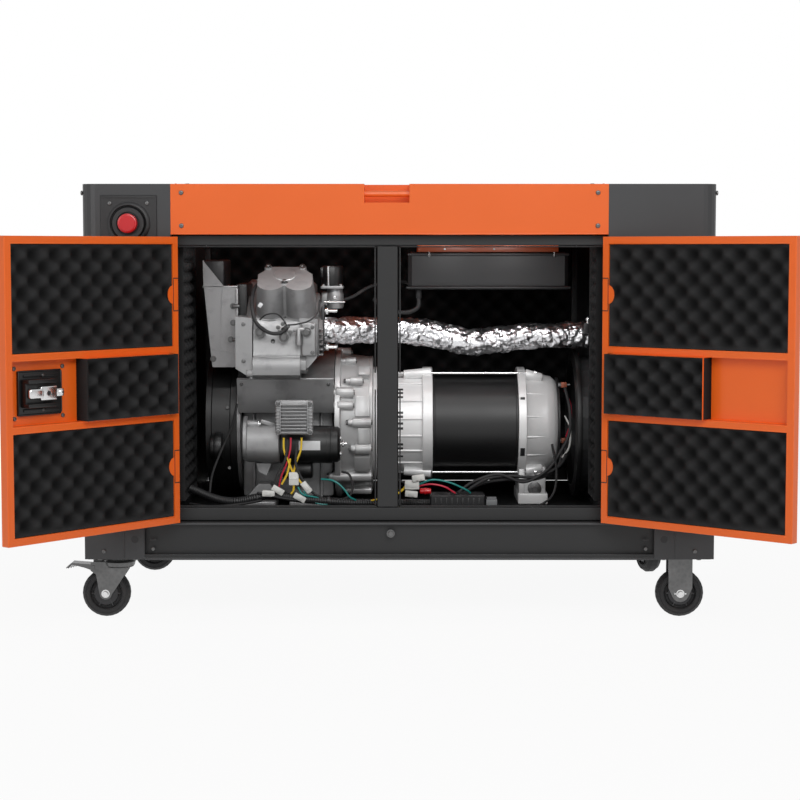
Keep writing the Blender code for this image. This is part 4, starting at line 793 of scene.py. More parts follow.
    def ends(self):
        lips, fixings = Mould(), Mould()
        for side, rows in ((-1, 6), (1, 5)):
            x = side * HALF
            for row in range(rows):
                z = 0.27 + 0.045 * row
                lips.prism(
                    [(x - side * 0.0002, z + 0.02), (x + side * 0.003, z + 0.0215),
                        (x + side * 0.0075, z + 0.011),
                     (x + side * 0.006, z + 0.0104), (x + side * 0.0016, z + 0.019)],
                    0.092, 0.648, "XZ",
                )
            for z in (0.23, 0.885):
                for y in (0.025, 0.37, 0.715):
                    fixings.screw((x, y, z), (side, 0, 0), 0.005)
        lips.made("louvre_hoods", "canopy", "charcoal_paint")
        fixings.made("end_screws", "canopy", "zinc_steel")

    def back(self):
        ribs, fixings = Mould(), Mould()
        for middle in (-0.245, 0.205):
            for row in range(7):
                z = 0.6 + 0.022 * row
                ribs.block((middle - 0.15, DEPTH - 0.0012, z), (middle + 0.15, DEPTH - 0.0001, z + 0.008),
                    0.0005)
        ribs.made("rear_ribs", "canopy", "charcoal_paint")
        for x in (-0.45, -0.235, -0.02, 0.195, 0.41):
            for z in (0.223, 0.785):
                fixings.rod((x, DEPTH - 0.001, z), (x, DEPTH - 0.0001, z), 0.005, sides=6)
        fixings.made("rear_screws", "canopy", "zinc_steel")


# Controls


class WELDER_OT_controls(bpy.types.Operator):
    """Adds the detail of the emergency stop and of the weld panel on the left end"""

    bl_idname = "welder.controls"
    bl_label = "Controls"

    def execute(self, context):
        stop = corners("stop_button", CANOPY)
        middle = (stop[0] + stop[1]) / 2
        screws = Mould()
        for x in (middle.x - 0.038, middle.x + 0.038):
            for z in (middle.z - 0.0405, middle.z + 0.041):
                screws.screw((x, -0.0033, z), (0, -1, 0), 0.0042)
        screws.made("stop_screws", "canopy", "zinc_steel")
        rim = Mould()
        rim.lathe(
            (middle.x, -0.0031, middle.z), (0, -1, 0),
            [(0.044, 0.0), (0.0435, 0.0032), (0.04, 0.0062), (0.038, 0.0066), (0.037, 0.006),
                (0.0365, 0.0)],
            72, closed=True,
        )
        rim.block((middle.x - 0.0545, -0.0046, middle.z - 0.0545),
            (middle.x + 0.0545, -0.003, middle.z - 0.0515), 0.0007)
        rim.block((middle.x - 0.0545, -0.0046, middle.z + 0.0515),
            (middle.x + 0.0545, -0.003, middle.z + 0.0545), 0.0007)
        rim.made("stop_rim", "canopy", "black_plastic")
        face = stop[0].y
        crown = Mould()
        crown.lathe(
            (middle.x, face + 0.0022, middle.z), (0, -1, 0),
            [(0.0196, -0.0075), (0.0199, -0.004), (0.0199, -0.002), (0.0188, 0.0002), (0.015, 0.0015),
                (0.0004, 0.0021)], 64,
        )
        crown.made("stop_crown", "stop_button", "red_plastic")
        marks = Mould()
        for k in range(3):
            turn = 2 * math.pi * k / 3
            outline = []
            for step in range(9):
                a = turn + step * 0.17
                outline.append((0.0116 * math.cos(a), 0.0116 * math.sin(a)))
            outline.append((0.014 * math.cos(turn + 1.42), 0.014 * math.sin(turn + 1.42)))
            for step in range(7, -1, -1):
                a = turn + step * 0.17
                outline.append((0.0098 * math.cos(a), 0.0098 * math.sin(a)))
            marks.prism([(middle.x + u, middle.z + v) for u, v in outline], face + 0.0004, face + 0.0014,
                "XZ")
        marks.made("stop_arrows", "stop_button", "red_plastic", "white_nylon")
        self.panel()
        return {"FINISHED"}

    def panel(self):
        face = corners("control_panel", CANOPY)[0].x + 0.013
        knob = corners("weld_current_knob", CANOPY)
        centre = (knob[0] + knob[1]) / 2
        dial = Mould()
        for k in range(31):
            turn = math.radians(225 - 9 * k)
            near, far = 0.0275, 0.0325 if k % 3 == 0 else 0.03
            a = Vector((face, centre.y - near * math.cos(turn), centre.z + near * math.sin(turn)))
            b = Vector((face, centre.y - far * math.cos(turn), centre.z + far * math.sin(turn)))
            dial.rod(a, b, 0.0004, sides=6)
        dial.made("dial_marks", "canopy", "black_plastic", "white_nylon")
        grip = Mould()
        for k in range(28):
            turn = 2 * math.pi * k / 28
            spot = Vector((0, 0.0232 * math.cos(turn), 0.0232 * math.sin(turn))) + Vector((0, centre.y,
                centre.z))
            grip.rod(spot + Vector((knob[0].x + 0.003, 0, 0)), spot + Vector((knob[1].x - 0.002, 0, 0)),
                0.001, sides=8)
        grip.made("knob_flutes", "weld_current_knob", "black_plastic")
        pointer = Mould()
        pointer.block((knob[0].x - 0.0003, centre.y - 0.001, centre.z + 0.004),
            (knob[0].x + 0.001, centre.y + 0.001, knob[1].z - 0.003), 0.0002)
        pointer.rod((knob[0].x + 0.001, centre.y, knob[1].z - 0.006),
            (knob[0].x - 0.0003, centre.y, knob[1].z - 0.006), 0.0018, sides=20)
        pointer.made("knob_pointer", "weld_current_knob", "black_plastic", "white_nylon")
        frame_ring, lamps, screen = Mould(), Mould(), Mould()
        frame_ring.block((face - 0.002, 0.195, 0.735), (face + 0.001, 0.265, 0.785), 0.0015)
        frame_ring.block((face - 0.003, 0.198, 0.737), (face - 0.001, 0.262, 0.74), 0.0006)
        frame_ring.block((face - 0.003, 0.198, 0.78), (face - 0.001, 0.262, 0.783), 0.0006)
        screen.block((face - 0.0026, 0.201, 0.744), (face - 0.0015, 0.259, 0.776), 0.0008)
        for number in range(4):
            screen.block((face - 0.0029, 0.207 + 0.012 * number, 0.752),
                (face - 0.0024, 0.215 + 0.012 * number, 0.768), 0.0002)
        for number in range(3):
            lamps.rod((face + 0.001, 0.208 + 0.022 * number, 0.715),
                (face - 0.0035, 0.208 + 0.022 * number, 0.715), 0.0042, 0.0034, width=0.001)
        for y in (0.088, 0.372):
            for z in (0.588, 0.812):
                lamps.screw((face, y, z), (-1, 0, 0), 0.004)
        frame_ring.made("meter_frame", "canopy", "black_plastic")
        screen.made("meter_window", "canopy", "black_enamel")
        lamps.made("panel_lamps", "canopy", "zinc_steel")
        rings, inserts = Mould(), Mould()
        for y in (0.145, 0.315):
            rings.lathe((-0.666, y, 0.63), (-1, 0, 0),
                [(0.019, 0.0), (0.019, 0.0008), (0.015, 0.0014), (0.014, 0.0)], 48, closed=True)
            inserts.lathe((-0.66, y, 0.63), (-1, 0, 0),
                [(0.0135, -0.012), (0.0135, 0.004), (0.0095, 0.004), (0.0095, -0.012)], 48, closed=True)
        rings.made("socket_rings", "canopy", "black_plastic", "grey_plastic")
        inserts.made("socket_inserts", "canopy", "zinc_steel", "brass")


# Doors


class WELDER_OT_doors(bpy.types.Operator):
    """Adds the hinges, folded edges, trays and latch of the doors"""

    bl_idname = "welder.doors"
    bl_label = "Doors"

    def execute(self, context):
        for name, place, way in (("left", LEFT_DOOR, 1), ("right", RIGHT_DOOR, -1)):
            self.edges(name, place, way)
            self.hinges(name, place, way)
        self.latch()
        return {"FINISHED"}

    def edges(self, name, place, way):
        """The folded lips of a door pan, and the trays that hold its foam."""
        body = f"{name}_door"
        folds = Mould(place)

        def across(a, b):
            return sorted((way * a, way * b))

        for z in (0.2108, 0.7955):
            low, high = across(0.004, 0.4445)
            folds.rod((low, 0.0247, z + (0.0009 if z < 0.5 else -0.0009)),
                (high, 0.0247, z + (0.0009 if z < 0.5 else -0.0009)), 0.0009, sides=10)
        for x in (0.4438, 0.4385):
            folds.rod((way * x, 0.0247, 0.213), (way * x, 0.0247, 0.793), 0.0009, sides=10)
        low, high = across(0.018, 0.4305)
        for z in (0.2243, 0.4242, 0.4351, 0.5612, 0.5722, 0.782):
            folds.block((low, 0.024, z - 0.0008), (high, 0.0258, z + 0.0008), 0.0004)
        folds.made(f"{name}_door_folds", body, "orange_paint")
        skin = Mould(place)
        low, high = across(0.03, 0.42)
        for z in (0.24, 0.766):
            skin.rod((low, 0.0054, z), (high, 0.0054, z), 0.0016, sides=10)
        low, high = across(0.03, 0.42)
        for x in (low, high):
            skin.rod((x, 0.0054, 0.24), (x, 0.0054, 0.766), 0.0016, sides=10)
        skin.made(f"{name}_door_bead", body, "orange_paint")
        near, far = corners(f"{name}_door_foam_block", place)
        end = far.x if way > 0 else near.x
        sheet = Mould(place)
        low, high = sorted((end + way * 0.0002, end + way * 0.0014))
        if way < 0:
            sheet.block((low, far.y - 0.004, near.z - 0.0006), (high, far.y - 0.0004, far.z + 0.0006),
                0.0004)
        low, high = sorted((way * 0.03, end + way * 0.001))
        for z, side in ((near.z, -1), (far.z, 1)):
            a, b = sorted((z + side * 0.0001, z + side * 0.0008))
            sheet.block((low, near.y, a), (high, far.y - 0.003, b), 0.0002)
            for share in (0.08, 0.5, 0.9):
                x = low + (high - low) * share
                sheet.block((x - 0.003, far.y - 0.005, a), (x + 0.003, far.y - 0.0003, b), 0.0002)
        sheet.made(f"{name}_block_sheet", body, "orange_paint")

    def hinges(self, name, place, way):
        pins, leaves = Mould(place), Mould(place)
        for z in (0.3278, 0.6785):
            for end in (-1, 1):
                pins.rod((0, 0, z + end * 0.029), (0, 0, z + end * 0.0318), 0.004, 0.0026, width=0.0008)
            for offset in (-0.018, 0.018):
                leaves.screw((way * 0.0215, 0.0056, z + offset), (0, -1, 0), 0.0036)
        # The black strips round each hinge tab are painted shadow in the gaps beside it.
        tabs, gaps = Mould(place), Mould(place)
        for z in (0.3278, 0.6785):
            curve = [(way * (0.0165 + 0.015 * math.cos(a)),
                z + 0.019 * math.sin(a)) for a in [math.radians(-90 + 12 * k) for k in range(16)]]
            tabs.prism(curve, 0.0236, 0.0246, "XZ", 0.0003)
            for end in (-1, 1):
                low, high = sorted((way * 0.0035, way * 0.0178))
                gaps.block((low, 0.025, z + end * 0.033 - 0.001), (high, 0.0259, z + end * 0.033 + 0.001),
                    0.0003)
            low, high = sorted((way * 0.0165, way * 0.018))
            gaps.block((low, 0.025, z - 0.032), (high, 0.0258, z + 0.032), 0.0003)
        tabs.made(f"{name}_hinge_tabs", f"{name}_door", "orange_paint")
        gaps.made(f"{name}_hinge_gaps", f"{name}_door", "orange_paint", "black_plastic")
        pins.made(f"{name}_hinge_pins", f"{name}_door", "zinc_steel")
        leaves.made(f"{name}_hinge_screws", f"{name}_door", "zinc_steel")

    def latch(self):
        """The slam latch in its tray: its backing plate, screws, bolt and strike lug."""
        case = corners("latch_case", LEFT_DOOR)
        bolt = corners("latch_bolt", LEFT_DOOR)
        z = (case[0].z + case[1].z) / 2
        y = (bolt[0].y + bolt[1].y) / 2
        tray, screws = Mould(LEFT_DOOR), Mould(LEFT_DOOR)
        tray.block((0.302, case[0].y + 0.0002, z - 0.043), (0.408, case[0].y + 0.006, z + 0.043), 0.0025)
        for x in (0.3035, 0.4065):
            tray.rod((x, case[0].y + 0.006, z - 0.04), (x, case[0].y + 0.006, z + 0.04), 0.0018, sides=16,
                width=0.0008)
        for side in (-1, 1):
            tray.rod((0.305, case[0].y + 0.006, z + side * 0.0415),
                (0.405, case[0].y + 0.006, z + side * 0.0415), 0.0018, sides=16, width=0.0008)
            tray.block((0.334, case[0].y + 0.005, z + side * 0.023 - 0.004),
                (0.402, bolt[1].y - 0.002, z + side * 0.023 + 0.004), 0.002)
            tray.block((0.31, case[0].y + 0.005, z + side * 0.033 - 0.003),
                (0.396, case[0].y + 0.0085, z + side * 0.033 + 0.003), 0.0012)
            for x in (0.2955, 0.413):
                screws.screw((x, case[0].y + 0.0004, z + side * 0.0475), (0, 1, 0), 0.0042)
            screws.screw((0.35, case[0].y + 0.0085, z + side * 0.033), (0, 1, 0), 0.003)
        tray.block((0.334, case[0].y + 0.005, z - 0.024), (0.402, bolt[0].y - 0.0006, z + 0.024), 0.003)
        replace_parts(tray.made("latch_tray", "left_door", "black_plastic", "black_enamel"), "latch_case")
        screws.made("latch_screws", "left_door", "zinc_steel")
        slide = Mould(LEFT_DOOR)
        slide.block((0.364, bolt[0].y + 0.0004, z - 0.0098), (0.4, bolt[1].y - 0.0004, z + 0.0098), 0.0048,
            steps=4)
        slide.block((0.3695, bolt[0].y + 0.0002, z - 0.0108), (0.3725, bolt[1].y - 0.0002, z + 0.0108),
            0.001)
        slide.block((0.335, bolt[0].y + 0.0004, z - 0.0132), (0.374, bolt[1].y - 0.0004, z + 0.0132),
            0.0022, steps=3)
        slide.block((0.316, y - 0.0035, z - 0.0075), (0.337, y + 0.002, z + 0.0075), 0.002)
        slide.lathe((0.3235, y + 0.0018, z), (0, 1, 0),
            [(0.0062, 0.0), (0.006, 0.0018), (0.0046, 0.0034), (0.0022, 0.0042), (0.0003, 0.0044)], 32)
        slide.lathe((0.356, bolt[1].y - 0.0006, z), (0, 1, 0),
            [(0.0046, 0.0), (0.0062, 0.0), (0.006, 0.0008), (0.0048, 0.0008)], 40, closed=True)
        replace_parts(slide.made("latch_slide", "latch_bolt", "zinc_steel", "turned_steel"), "latch_bolt")
        # Black discs on the bolt's end and dome: painted shade in its hole and its socket.
        hole = Mould(LEFT_DOOR)
        hole.rod((0.356, bolt[1].y - 0.0012, z), (0.356, bolt[1].y - 0.0002, z), 0.0046, sides=32)
        hole.rod((0.3235, y + 0.0058, z), (0.3235, y + 0.0064, z), 0.0016, sides=6)
        hole.made("latch_holes", "latch_bolt", "zinc_steel", "black_plastic")
        handle = corners("latch_handle", LEFT_DOOR)
        ridge = Mould(LEFT_DOOR)
        centre = (handle[0] + handle[1]) / 2
        for k in range(5):
            z = centre.z - 0.024 + 0.012 * k
            ridge.block((centre.x - 0.0055, handle[0].y + 0.0004, z - 0.0012),
                (centre.x + 0.0055, handle[0].y + 0.0022, z + 0.0012), 0.0006)
        ridge.made("handle_ridges", "latch_handle", "black_plastic")


# Engine


class WELDER_OT_engine(bpy.types.Operator):
    """Adds the castings, covers and fixings of the engine"""

    bl_idname = "welder.engine"
    bl_label = "Engine"

    def execute(self, context):
        self.valve_cover()
        self.cylinder()
        self.leads()
        self.blower()
        self.crank_cover()
        self.crankcase()
        self.starter()
        self.regulator()
        self.intake()
        return {"FINISHED"}

    def cover_outline(self, grow=0.0):
        """Eight sides at the back, and two round lobes side by side in front."""
        left = arc((-0.2765, -0.025), 0.0315 + grow, 180, 338, 14)
        right = arc((-0.2105, -0.025), 0.0325 + grow, 202, 360, 14)
        return [
            *left, (-0.2435, -0.0375 - grow), *right, (-0.179 + grow, 0.015),
            (-0.208 + grow * 0.7, 0.05 + grow),
            (-0.28 - grow * 0.7, 0.05 + grow), (-0.308 - grow, 0.015),
        ]

    def valve_cover(self):
        cover = Mould(CYLINDER)
        cover.prism(self.cover_outline(0.0055), 0.299, 0.3075, "XY", 0.002)
        cover.prism(self.cover_outline(), 0.306, 0.3795, "XY", 0.0085, top=0.9, steps=4)
        for x, y in ((-0.281, 0.038), (-0.208, 0.038), (-0.2435, -0.026)):
            cover.rod((x, y, 0.372), (x, y, 0.382), 0.009, 0.0078, width=0.0015)
        cover.rod((-0.244, 0.008, 0.377), (-0.244, 0.008, 0.3812), 0.026, 0.023, sides=48, width=0.0016)
        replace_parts(cover.made("valve_cover", "canopy", "cast_alloy"), "front_valve_cover")
        bolts = Mould(CYLINDER)
        for x, y in ((-0.281, 0.038), (-0.208, 0.038), (-0.2435, -0.026)):
            bolts.bolt((x, y, 0.382), (0, 0, 1), 0.0052)
        bolts.made("valve_cover_bolts", "canopy", "zinc_steel")

    def cylinder(self):
        """The front cylinder's head and its rounded cowling, with seams, bosses and bolts."""
        body = Mould()
        side = [
            (0.152, 0.4955), (0.13, 0.4975), (0.119, 0.505), (0.115, 0.518), (0.116, 0.533),
            (0.122, 0.5415), (0.133, 0.545),
            (0.137, 0.556), (0.139, 0.585), (0.146, 0.61), (0.16, 0.624), (0.26, 0.624), (0.26, 0.4955),
        ]
        body.prism(side, -0.31, -0.21, "YZ", 0.005, steps=3)
        belly = [(0.156, 0.506), (0.134, 0.508), (0.125, 0.515), (0.122, 0.525), (0.124, 0.535),
            (0.134, 0.543), (0.26, 0.543), (0.26, 0.506)]
        body.prism(belly, -0.22, -0.198, "YZ", 0.009, steps=4)
        body.prism([(-0.212, 0.512), (-0.193, 0.52), (-0.176, 0.54), (-0.173, 0.622), (-0.212, 0.624)],
            0.14, 0.26, "XZ", 0.008, steps=4)
        body.prism([(-0.347, 0.518), (-0.3118, 0.496), (-0.3118, 0.625), (-0.347, 0.628)], 0.13, 0.26, "XZ",
            0.01, steps=4)
        body.block((-0.208, 0.127, 0.544), (-0.176, 0.148, 0.615), 0.005, steps=3)
        body.rod((-0.309, 0.124, 0.5425), (-0.21, 0.124, 0.5425), 0.0034, sides=16, width=0.001)
        for x, z, radius in ((-0.2944, 0.5956, 0.013), (-0.1962, 0.5954, 0.012), (-0.244, 0.585, 0.011)):
            body.rod((x, 0.15, z), (x, 0.122, z), radius, radius * 0.86, width=0.003, steps=3)
        body.rod((-0.324, 0.133, 0.5078), (-0.302, 0.133, 0.5078), 0.0085, width=0.001)
        body.rod((-0.2127, 0.122, 0.602), (-0.2127, 0.12, 0.568), 0.0052, 0.0068, width=0.001)
        body.rod((-0.225, 0.124, 0.601), (-0.2, 0.124, 0.601), 0.0046, width=0.001)
        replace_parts(body.made("cylinder_cowl", "canopy", "cast_alloy"), "front_cylinder")
        head = Mould(CYLINDER)
        head.block((-0.324, -0.064, 0.215), (-0.172, 0.07, 0.299), 0.005, steps=3)
        for k in range(6):
            z = 0.218 + 0.013 * k
            head.block((-0.33, -0.06, z), (-0.164, 0.076, z + 0.003), 0.001)
        head.block((-0.305, -0.085, 0.22), (-0.19, -0.06, 0.28), 0.006, steps=3)
        head.made("cylinder_head", "canopy", "cast_alloy")
        bolts = Mould()
        for x, z in ((-0.2944, 0.5956), (-0.1962, 0.5954), (-0.244, 0.585)):
            bolts.bolt((x, 0.122, z), (0, -1, 0), 0.0078)
        for x, z in ((-0.256, 0.606), (-0.246, 0.613), (-0.235, 0.608), (-0.252, 0.597), (-0.239, 0.5985),
            (-0.23, 0.596)):
            bolts.rod((x, 0.132, z), (x, 0.115, z), 0.0026, sides=12)
            bolts.rod((x, 0.126, z), (x, 0.118, z), 0.005, sides=6, width=0.0006)
        bolts.bolt((-0.302, 0.133, 0.5078), (1, 0, 0), 0.0058)
        for x, z in ((-0.33, 0.612), (-0.33, 0.534), (-0.184, 0.552), (-0.184, 0.606)):
            bolts.screw((x, 0.13 if x < -0.3 else 0.127, z), (0, -1, 0), 0.0042)
        bolts.made("cylinder_bolts", "canopy", "zinc_steel")
        # A black ring with a shallow dip: painted shade in the cowl's port.
        hole = Mould()
        hole.lathe((-0.2682, 0.1385, 0.576), (0, -1, 0),
            [(0.0046, 0.0), (0.0046, 0.0012), (0.0034, 0.0012), (0.003, 0.0002), (0.0001, 0.0002)], 24)
        hole.made("cowl_port", "canopy", "cast_alloy", "black_plastic")

    def leads(self):
        lead = Mould()
        lead.tube([(-0.296, 0.235, 0.705), (-0.311, 0.19, 0.685), (-0.313, 0.15, 0.65),
            (-0.302, 0.12, 0.616), (-0.276, 0.108, 0.596), (-0.252, 0.108, 0.594), (-0.24, 0.114, 0.603)],
            0.004, sides=14)
        lead.tube([(-0.294, 0.118, 0.622), (-0.28, 0.106, 0.633), (-0.258, 0.102, 0.635),
            (-0.244, 0.11, 0.622), (-0.238, 0.118, 0.61)], 0.0016)
        lead.tube([(-0.17, 0.17, 0.662), (-0.174, 0.138, 0.636), (-0.19, 0.118, 0.62),
            (-0.215, 0.11, 0.613), (-0.234, 0.116, 0.611)], 0.0018)
        lead.rod((-0.244, 0.112, 0.6), (-0.236, 0.124, 0.608), 0.0062, 0.005, width=0.001)
        lead.made("plug_leads", "canopy", "black_plastic", "wheel_rubber")
        tag = Mould()
        tag.block((-0.296, 0.101, 0.648), (-0.288, 0.103, 0.658), 0.0006, turn=Matrix.Rotation(0.6, 4, "Y"))
        tag.block((-0.295, 0.103, 0.65), (-0.289, 0.106, 0.656), 0.0006, turn=Matrix.Rotation(0.6, 4, "Y"))
        tag.made("lead_tag", "canopy", "black_plastic", "label_stock")

    def blower(self):
        """The cooling air box over the fan, with its gusset, seam and bolts."""
        skin = Mould()
        face = [(-0.404, 0.516), (-0.3545, 0.516), (-0.3505, 0.573), (-0.35, 0.6865), (-0.4214, 0.69),
            (-0.4085, 0.555)]
        skin.prism(face, 0.216, 0.49, "XZ", 0.004, steps=3)
        skin.prism([(-0.3822, 0.688), (-0.3794, 0.688), (-0.3885, 0.52), (-0.3913, 0.52)], 0.2138, 0.2175,
            "XZ", 0.0008)
        skin.prism([(-0.408, 0.556), (-0.351, 0.544), (-0.351, 0.547), (-0.408, 0.5592)], 0.2142, 0.2175,
            "XZ", 0.0008)
        skin.prism([(-0.4238, 0.7467), (-0.4225, 0.689), (-0.3775, 0.689)], 0.218, 0.222, "XZ", 0.001)
        skin.block((-0.4245, 0.218, 0.687), (-0.349, 0.242, 0.6915), 0.0012)
        skin.block((-0.353, 0.212, 0.528), (-0.3478, 0.23, 0.686), 0.0012)
        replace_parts(skin.made("blower_box", "canopy", "cast_alloy"), "blower_housing")
        back = Mould()
        back.block((-0.4238, 0.23, 0.69), (-0.379, 0.4, 0.7467), 0.004, steps=3)
        back.block((-0.356, 0.25, 0.52), (-0.33, 0.4, 0.695), 0.004)
        back.made("blower_elbow", "canopy", "black_plastic")
        bolts = Mould()
        for x, z in ((-0.3588, 0.6479), (-0.364, 0.576), (-0.402, 0.534), (-0.3588, 0.612)):
            bolts.bolt((x, 0.216, z), (0, -1, 0), 0.005)
        for z in (0.576, 0.6479):
            bolts.rod((-0.36, 0.21, z), (-0.344, 0.21, z), 0.0042, sides=6, width=0.0005)
        bolts.made("blower_bolts", "canopy", "zinc_steel")
        duct = Mould()
        duct.lathe(
            (-0.4203, AXIS.y, AXIS.z), (1, 0, 0),
            [(0.145, 0.0), (0.1498, 0.001), (0.1498, 0.012), (0.1475, 0.014), (0.1475, 0.052),
                (0.1498, 0.054), (0.1498, 0.0668), (0.138, 0.0668), (0.138, 0.062), (0.144, 0.06),
                (0.144, 0.004)],
            96, closed=True,
        )
        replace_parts(duct.made("fan_ring", "canopy", "black_enamel"), "fan_duct")
        hub = Mould()
        hub.rod((-0.409, 0.208, 0.345), (-0.385, 0.208, 0.345), 0.026, 0.024, sides=40, width=0.003)
        hub.rod((-0.4, 0.208, 0.345), (-0.383, 0.208, 0.345), 0.03, 0.029, sides=40, width=0.002)
        hub.rod((-0.411, 0.208, 0.345), (-0.408, 0.208, 0.345), 0.012, 0.01, sides=6, width=0.001)
        hub.made("duct_hub", "canopy", "black_enamel")
        small = Mould()
        for x, y, z in ((-0.3726, 0.217, 0.4285), (-0.3695, 0.224, 0.2966)):
            small.bolt((x, y, z), (0, -1, 0), 0.004, washer=False)
        small.made("duct_bolts", "canopy", "zinc_steel")

    def crank_cover(self):
        """The turned cover in front of the alternator, with bosses and pads on its rim."""
        cover = Mould()
        cover.lathe(
            (-0.1407, AXIS.y, AXIS.z), (1, 0, 0),
            [(0.11, 0.0), (0.164, 0.0), (0.165, 0.001), (0.165, 0.011), (0.164, 0.012), (0.156, 0.014),
                (0.154, 0.02),
             (0.15, 0.06), (0.148, 0.074), (0.149, 0.075), (0.149, 0.0815), (0.146, 0.082), (0.11, 0.082)],
            128, closed=True,
        )
        rows = ((0.5251, -0.1288, -0.0957, 0.0085), (0.4847, -0.117, -0.08, 0.0095),
            (0.4606, -0.148, -0.099, 0.012),
                (0.4334, -0.144, -0.1, 0.01), (0.397, -0.1112, -0.061, 0.0115),
                (0.3394, -0.1054, -0.061, 0.012),
                (0.2756, -0.154, -0.061, 0.012), (0.238, -0.12, -0.062, 0.009))
        bolts = Mould()
        for z, left, right, radius in rows:
            y = AXIS.y - math.sqrt(0.156**2 - (z - AXIS.z) ** 2) - 0.002
            cover.rod((left + 0.01, y, z), (right, y, z), radius, width=0.0016)
            cover.rod((left, y, z), (left + 0.014, y, z), radius * 0.72, width=0.0012)
            bolts.rod((left - 0.0045, y, z), (left, y, z), radius * 0.5, sides=6, width=0.0006)
            bolts.rod((right - 0.002, y, z), (right + 0.0022, y, z), radius * 0.45, sides=24)
        for z, tall, left in ((0.43, 0.046, -0.096), (0.368, 0.036, -0.09), (0.308, 0.04, -0.098),
            (0.501, 0.026, -0.09)):
            rise = (z - AXIS.z) / 0.156
            y = AXIS.y - 0.156 * math.sqrt(1 - rise * rise)
            turn = Matrix.Rotation(-math.asin(rise), 4, "X")
            cover.block((left, y - 0.006, z - tall / 2), (-0.064, y + 0.01, z + tall / 2), 0.0022, turn)
        for turn in range(20, 360, 24):
            if 110 < turn < 262:
                continue
            a = math.radians(turn)
            y, z = AXIS.y + 0.158 * math.cos(a), AXIS.z + 0.158 * math.sin(a)
            cover.rod((-0.14, y, z), (-0.108, y, z), 0.01, width=0.0014)
            bolts.bolt((-0.108, y, z), (1, 0, 0), 0.0056, washer=False)
        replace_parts(cover.made("crank_cover", "canopy", "cast_alloy", "pale_cast"), "crankcase_cover")
        bolts.made("crank_cover_bolts", "canopy", "zinc_steel")

    def crankcase(self):
        """The case under the cylinders: a face that leans back, a bell flange and feet."""
        case = Mould()
        face = [(0.166, 0.4925), (0.206, 0.418), (0.3, 0.41), (0.498, 0.41), (0.498, 0.55), (0.32, 0.55),
            (0.24, 0.51), (0.19, 0.495)]
        case.prism(face, -0.348, -0.142, "YZ", 0.0022)
        case.block((-0.342, 0.256, 0.23), (-0.144, 0.496, 0.42), 0.006)
        case.lathe((-0.353, AXIS.y, AXIS.z), (1, 0, 0),
            [(0.11, 0.0), (0.148, 0.0), (0.1495, 0.001), (0.1495, 0.008), (0.148, 0.009), (0.11, 0.009)],
            96, closed=True)
        case.block((-0.348, 0.17, 0.4905), (-0.14, 0.23, 0.4955), 0.002)
        for x in (-0.318, -0.17):
            case.block((x - 0.003, 0.246, 0.23), (x + 0.003, 0.258, 0.415), 0.002)
        case.prism([(-0.308, 0.31), (-0.276, 0.31), (-0.286, 0.284), (-0.302, 0.292)], 0.185, 0.26, "XZ",
            0.002)
        case.prism([(-0.332, 0.233), (-0.305, 0.264), (-0.28, 0.264), (-0.26, 0.233)], 0.2, 0.26, "XZ",
            0.003)
        for low, high in ((-0.334, -0.266), (-0.238, -0.15)):
            case.block((low, 0.185, 0.209), (high, 0.28, 0.228), 0.004, steps=3)
            case.block((low, 0.44, 0.209), (high, 0.5, 0.232), 0.004)
        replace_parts(case.made("engine_case", "canopy", "cast_alloy"), "crankcase")
        bolts = Mould()
        for x in (-0.32, -0.17):
            bolts.bolt((x, 0.196, 0.228), (0, 0, 1), 0.0066)
        bolts.rod((-0.22, 0.256, 0.256), (-0.22, 0.24, 0.256), 0.011, sides=6, width=0.001)
        for x in (-0.338, -0.152):
            bolts.screw((x, 0.172, 0.482), (0, -1, -0.5), 0.004)
        bolts.made("crankcase_bolts", "canopy", "zinc_steel")

    def starter(self):
        """The starter motor: a bright nose, a black barrel with a blank label, and its solenoid."""
        y, z = 0.168, 0.36
        nose = Mould()
        nose.lathe((-0.334, y, z + 0.006), (1, 0, 0),
            [(0.03, 0.0), (0.046, 0.0), (0.048, 0.002), (0.048, 0.0085), (0.0465, 0.01), (0.03, 0.01)], 72)
        nose.lathe((-0.325, y, z), (1, 0, 0),
            [(0.03, 0.0), (0.0445, 0.0), (0.045, 0.02), (0.047, 0.04), (0.048, 0.06), (0.048, 0.068),
            (0.0465, 0.07), (0.02, 0.07)], 72)
        for turn in (118, 300):
            a = math.radians(turn)
            spot = Vector((-0.324, y + 0.044 * math.cos(a), z + 0.044 * math.sin(a)))
            nose.rod(spot, spot + Vector((0.024, 0, 0)), 0.009, 0.008, width=0.001)
        nose.block((-0.296, 0.136, 0.396), (-0.262, 0.147, 0.406), 0.003, turn=Matrix.Rotation(0.3, 4, "Y"))
        nose.made("starter_nose", "canopy", "cast_alloy")
        motor = Mould()
        z = 0.3531
        motor.lathe((-0.256, y, z), (1, 0, 0),
            [(0.01, 0.0), (0.0398, 0.0), (0.0402, 0.001), (0.0402, 0.108), (0.039, 0.11), (0.038, 0.1105),
            (0.038, 0.124), (0.034, 0.129), (0.01, 0.13)], 72)
        motor.lathe((-0.25, 0.17, 0.298), (1, 0, 0),
            [(0.004, 0.0), (0.018, 0.0), (0.019, 0.002), (0.019, 0.06), (0.016, 0.064), (0.004, 0.064)], 48)
        for edge in (-0.156, -0.146):
            motor.lathe((edge, y, z), (1, 0, 0),
                [(0.038, 0.0), (0.0408, 0.0), (0.0408, 0.0022), (0.038, 0.0022)], 72, closed=True)
        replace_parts(motor.made("starter_barrel", "canopy", "black_enamel"), "starter_motor")
        bolts = Mould()
        for turn in (118, 300):
            a = math.radians(turn)
            spot = Vector((-0.3, y + 0.044 * math.cos(a), 0.36 + 0.044 * math.sin(a)))
            bolts.bolt(spot, (1, 0, 0), 0.0058)
        for high in (0.336, 0.37):
            bolts.rod((-0.13, y - 0.02, high), (-0.124, y - 0.02, high), 0.0038, sides=6)
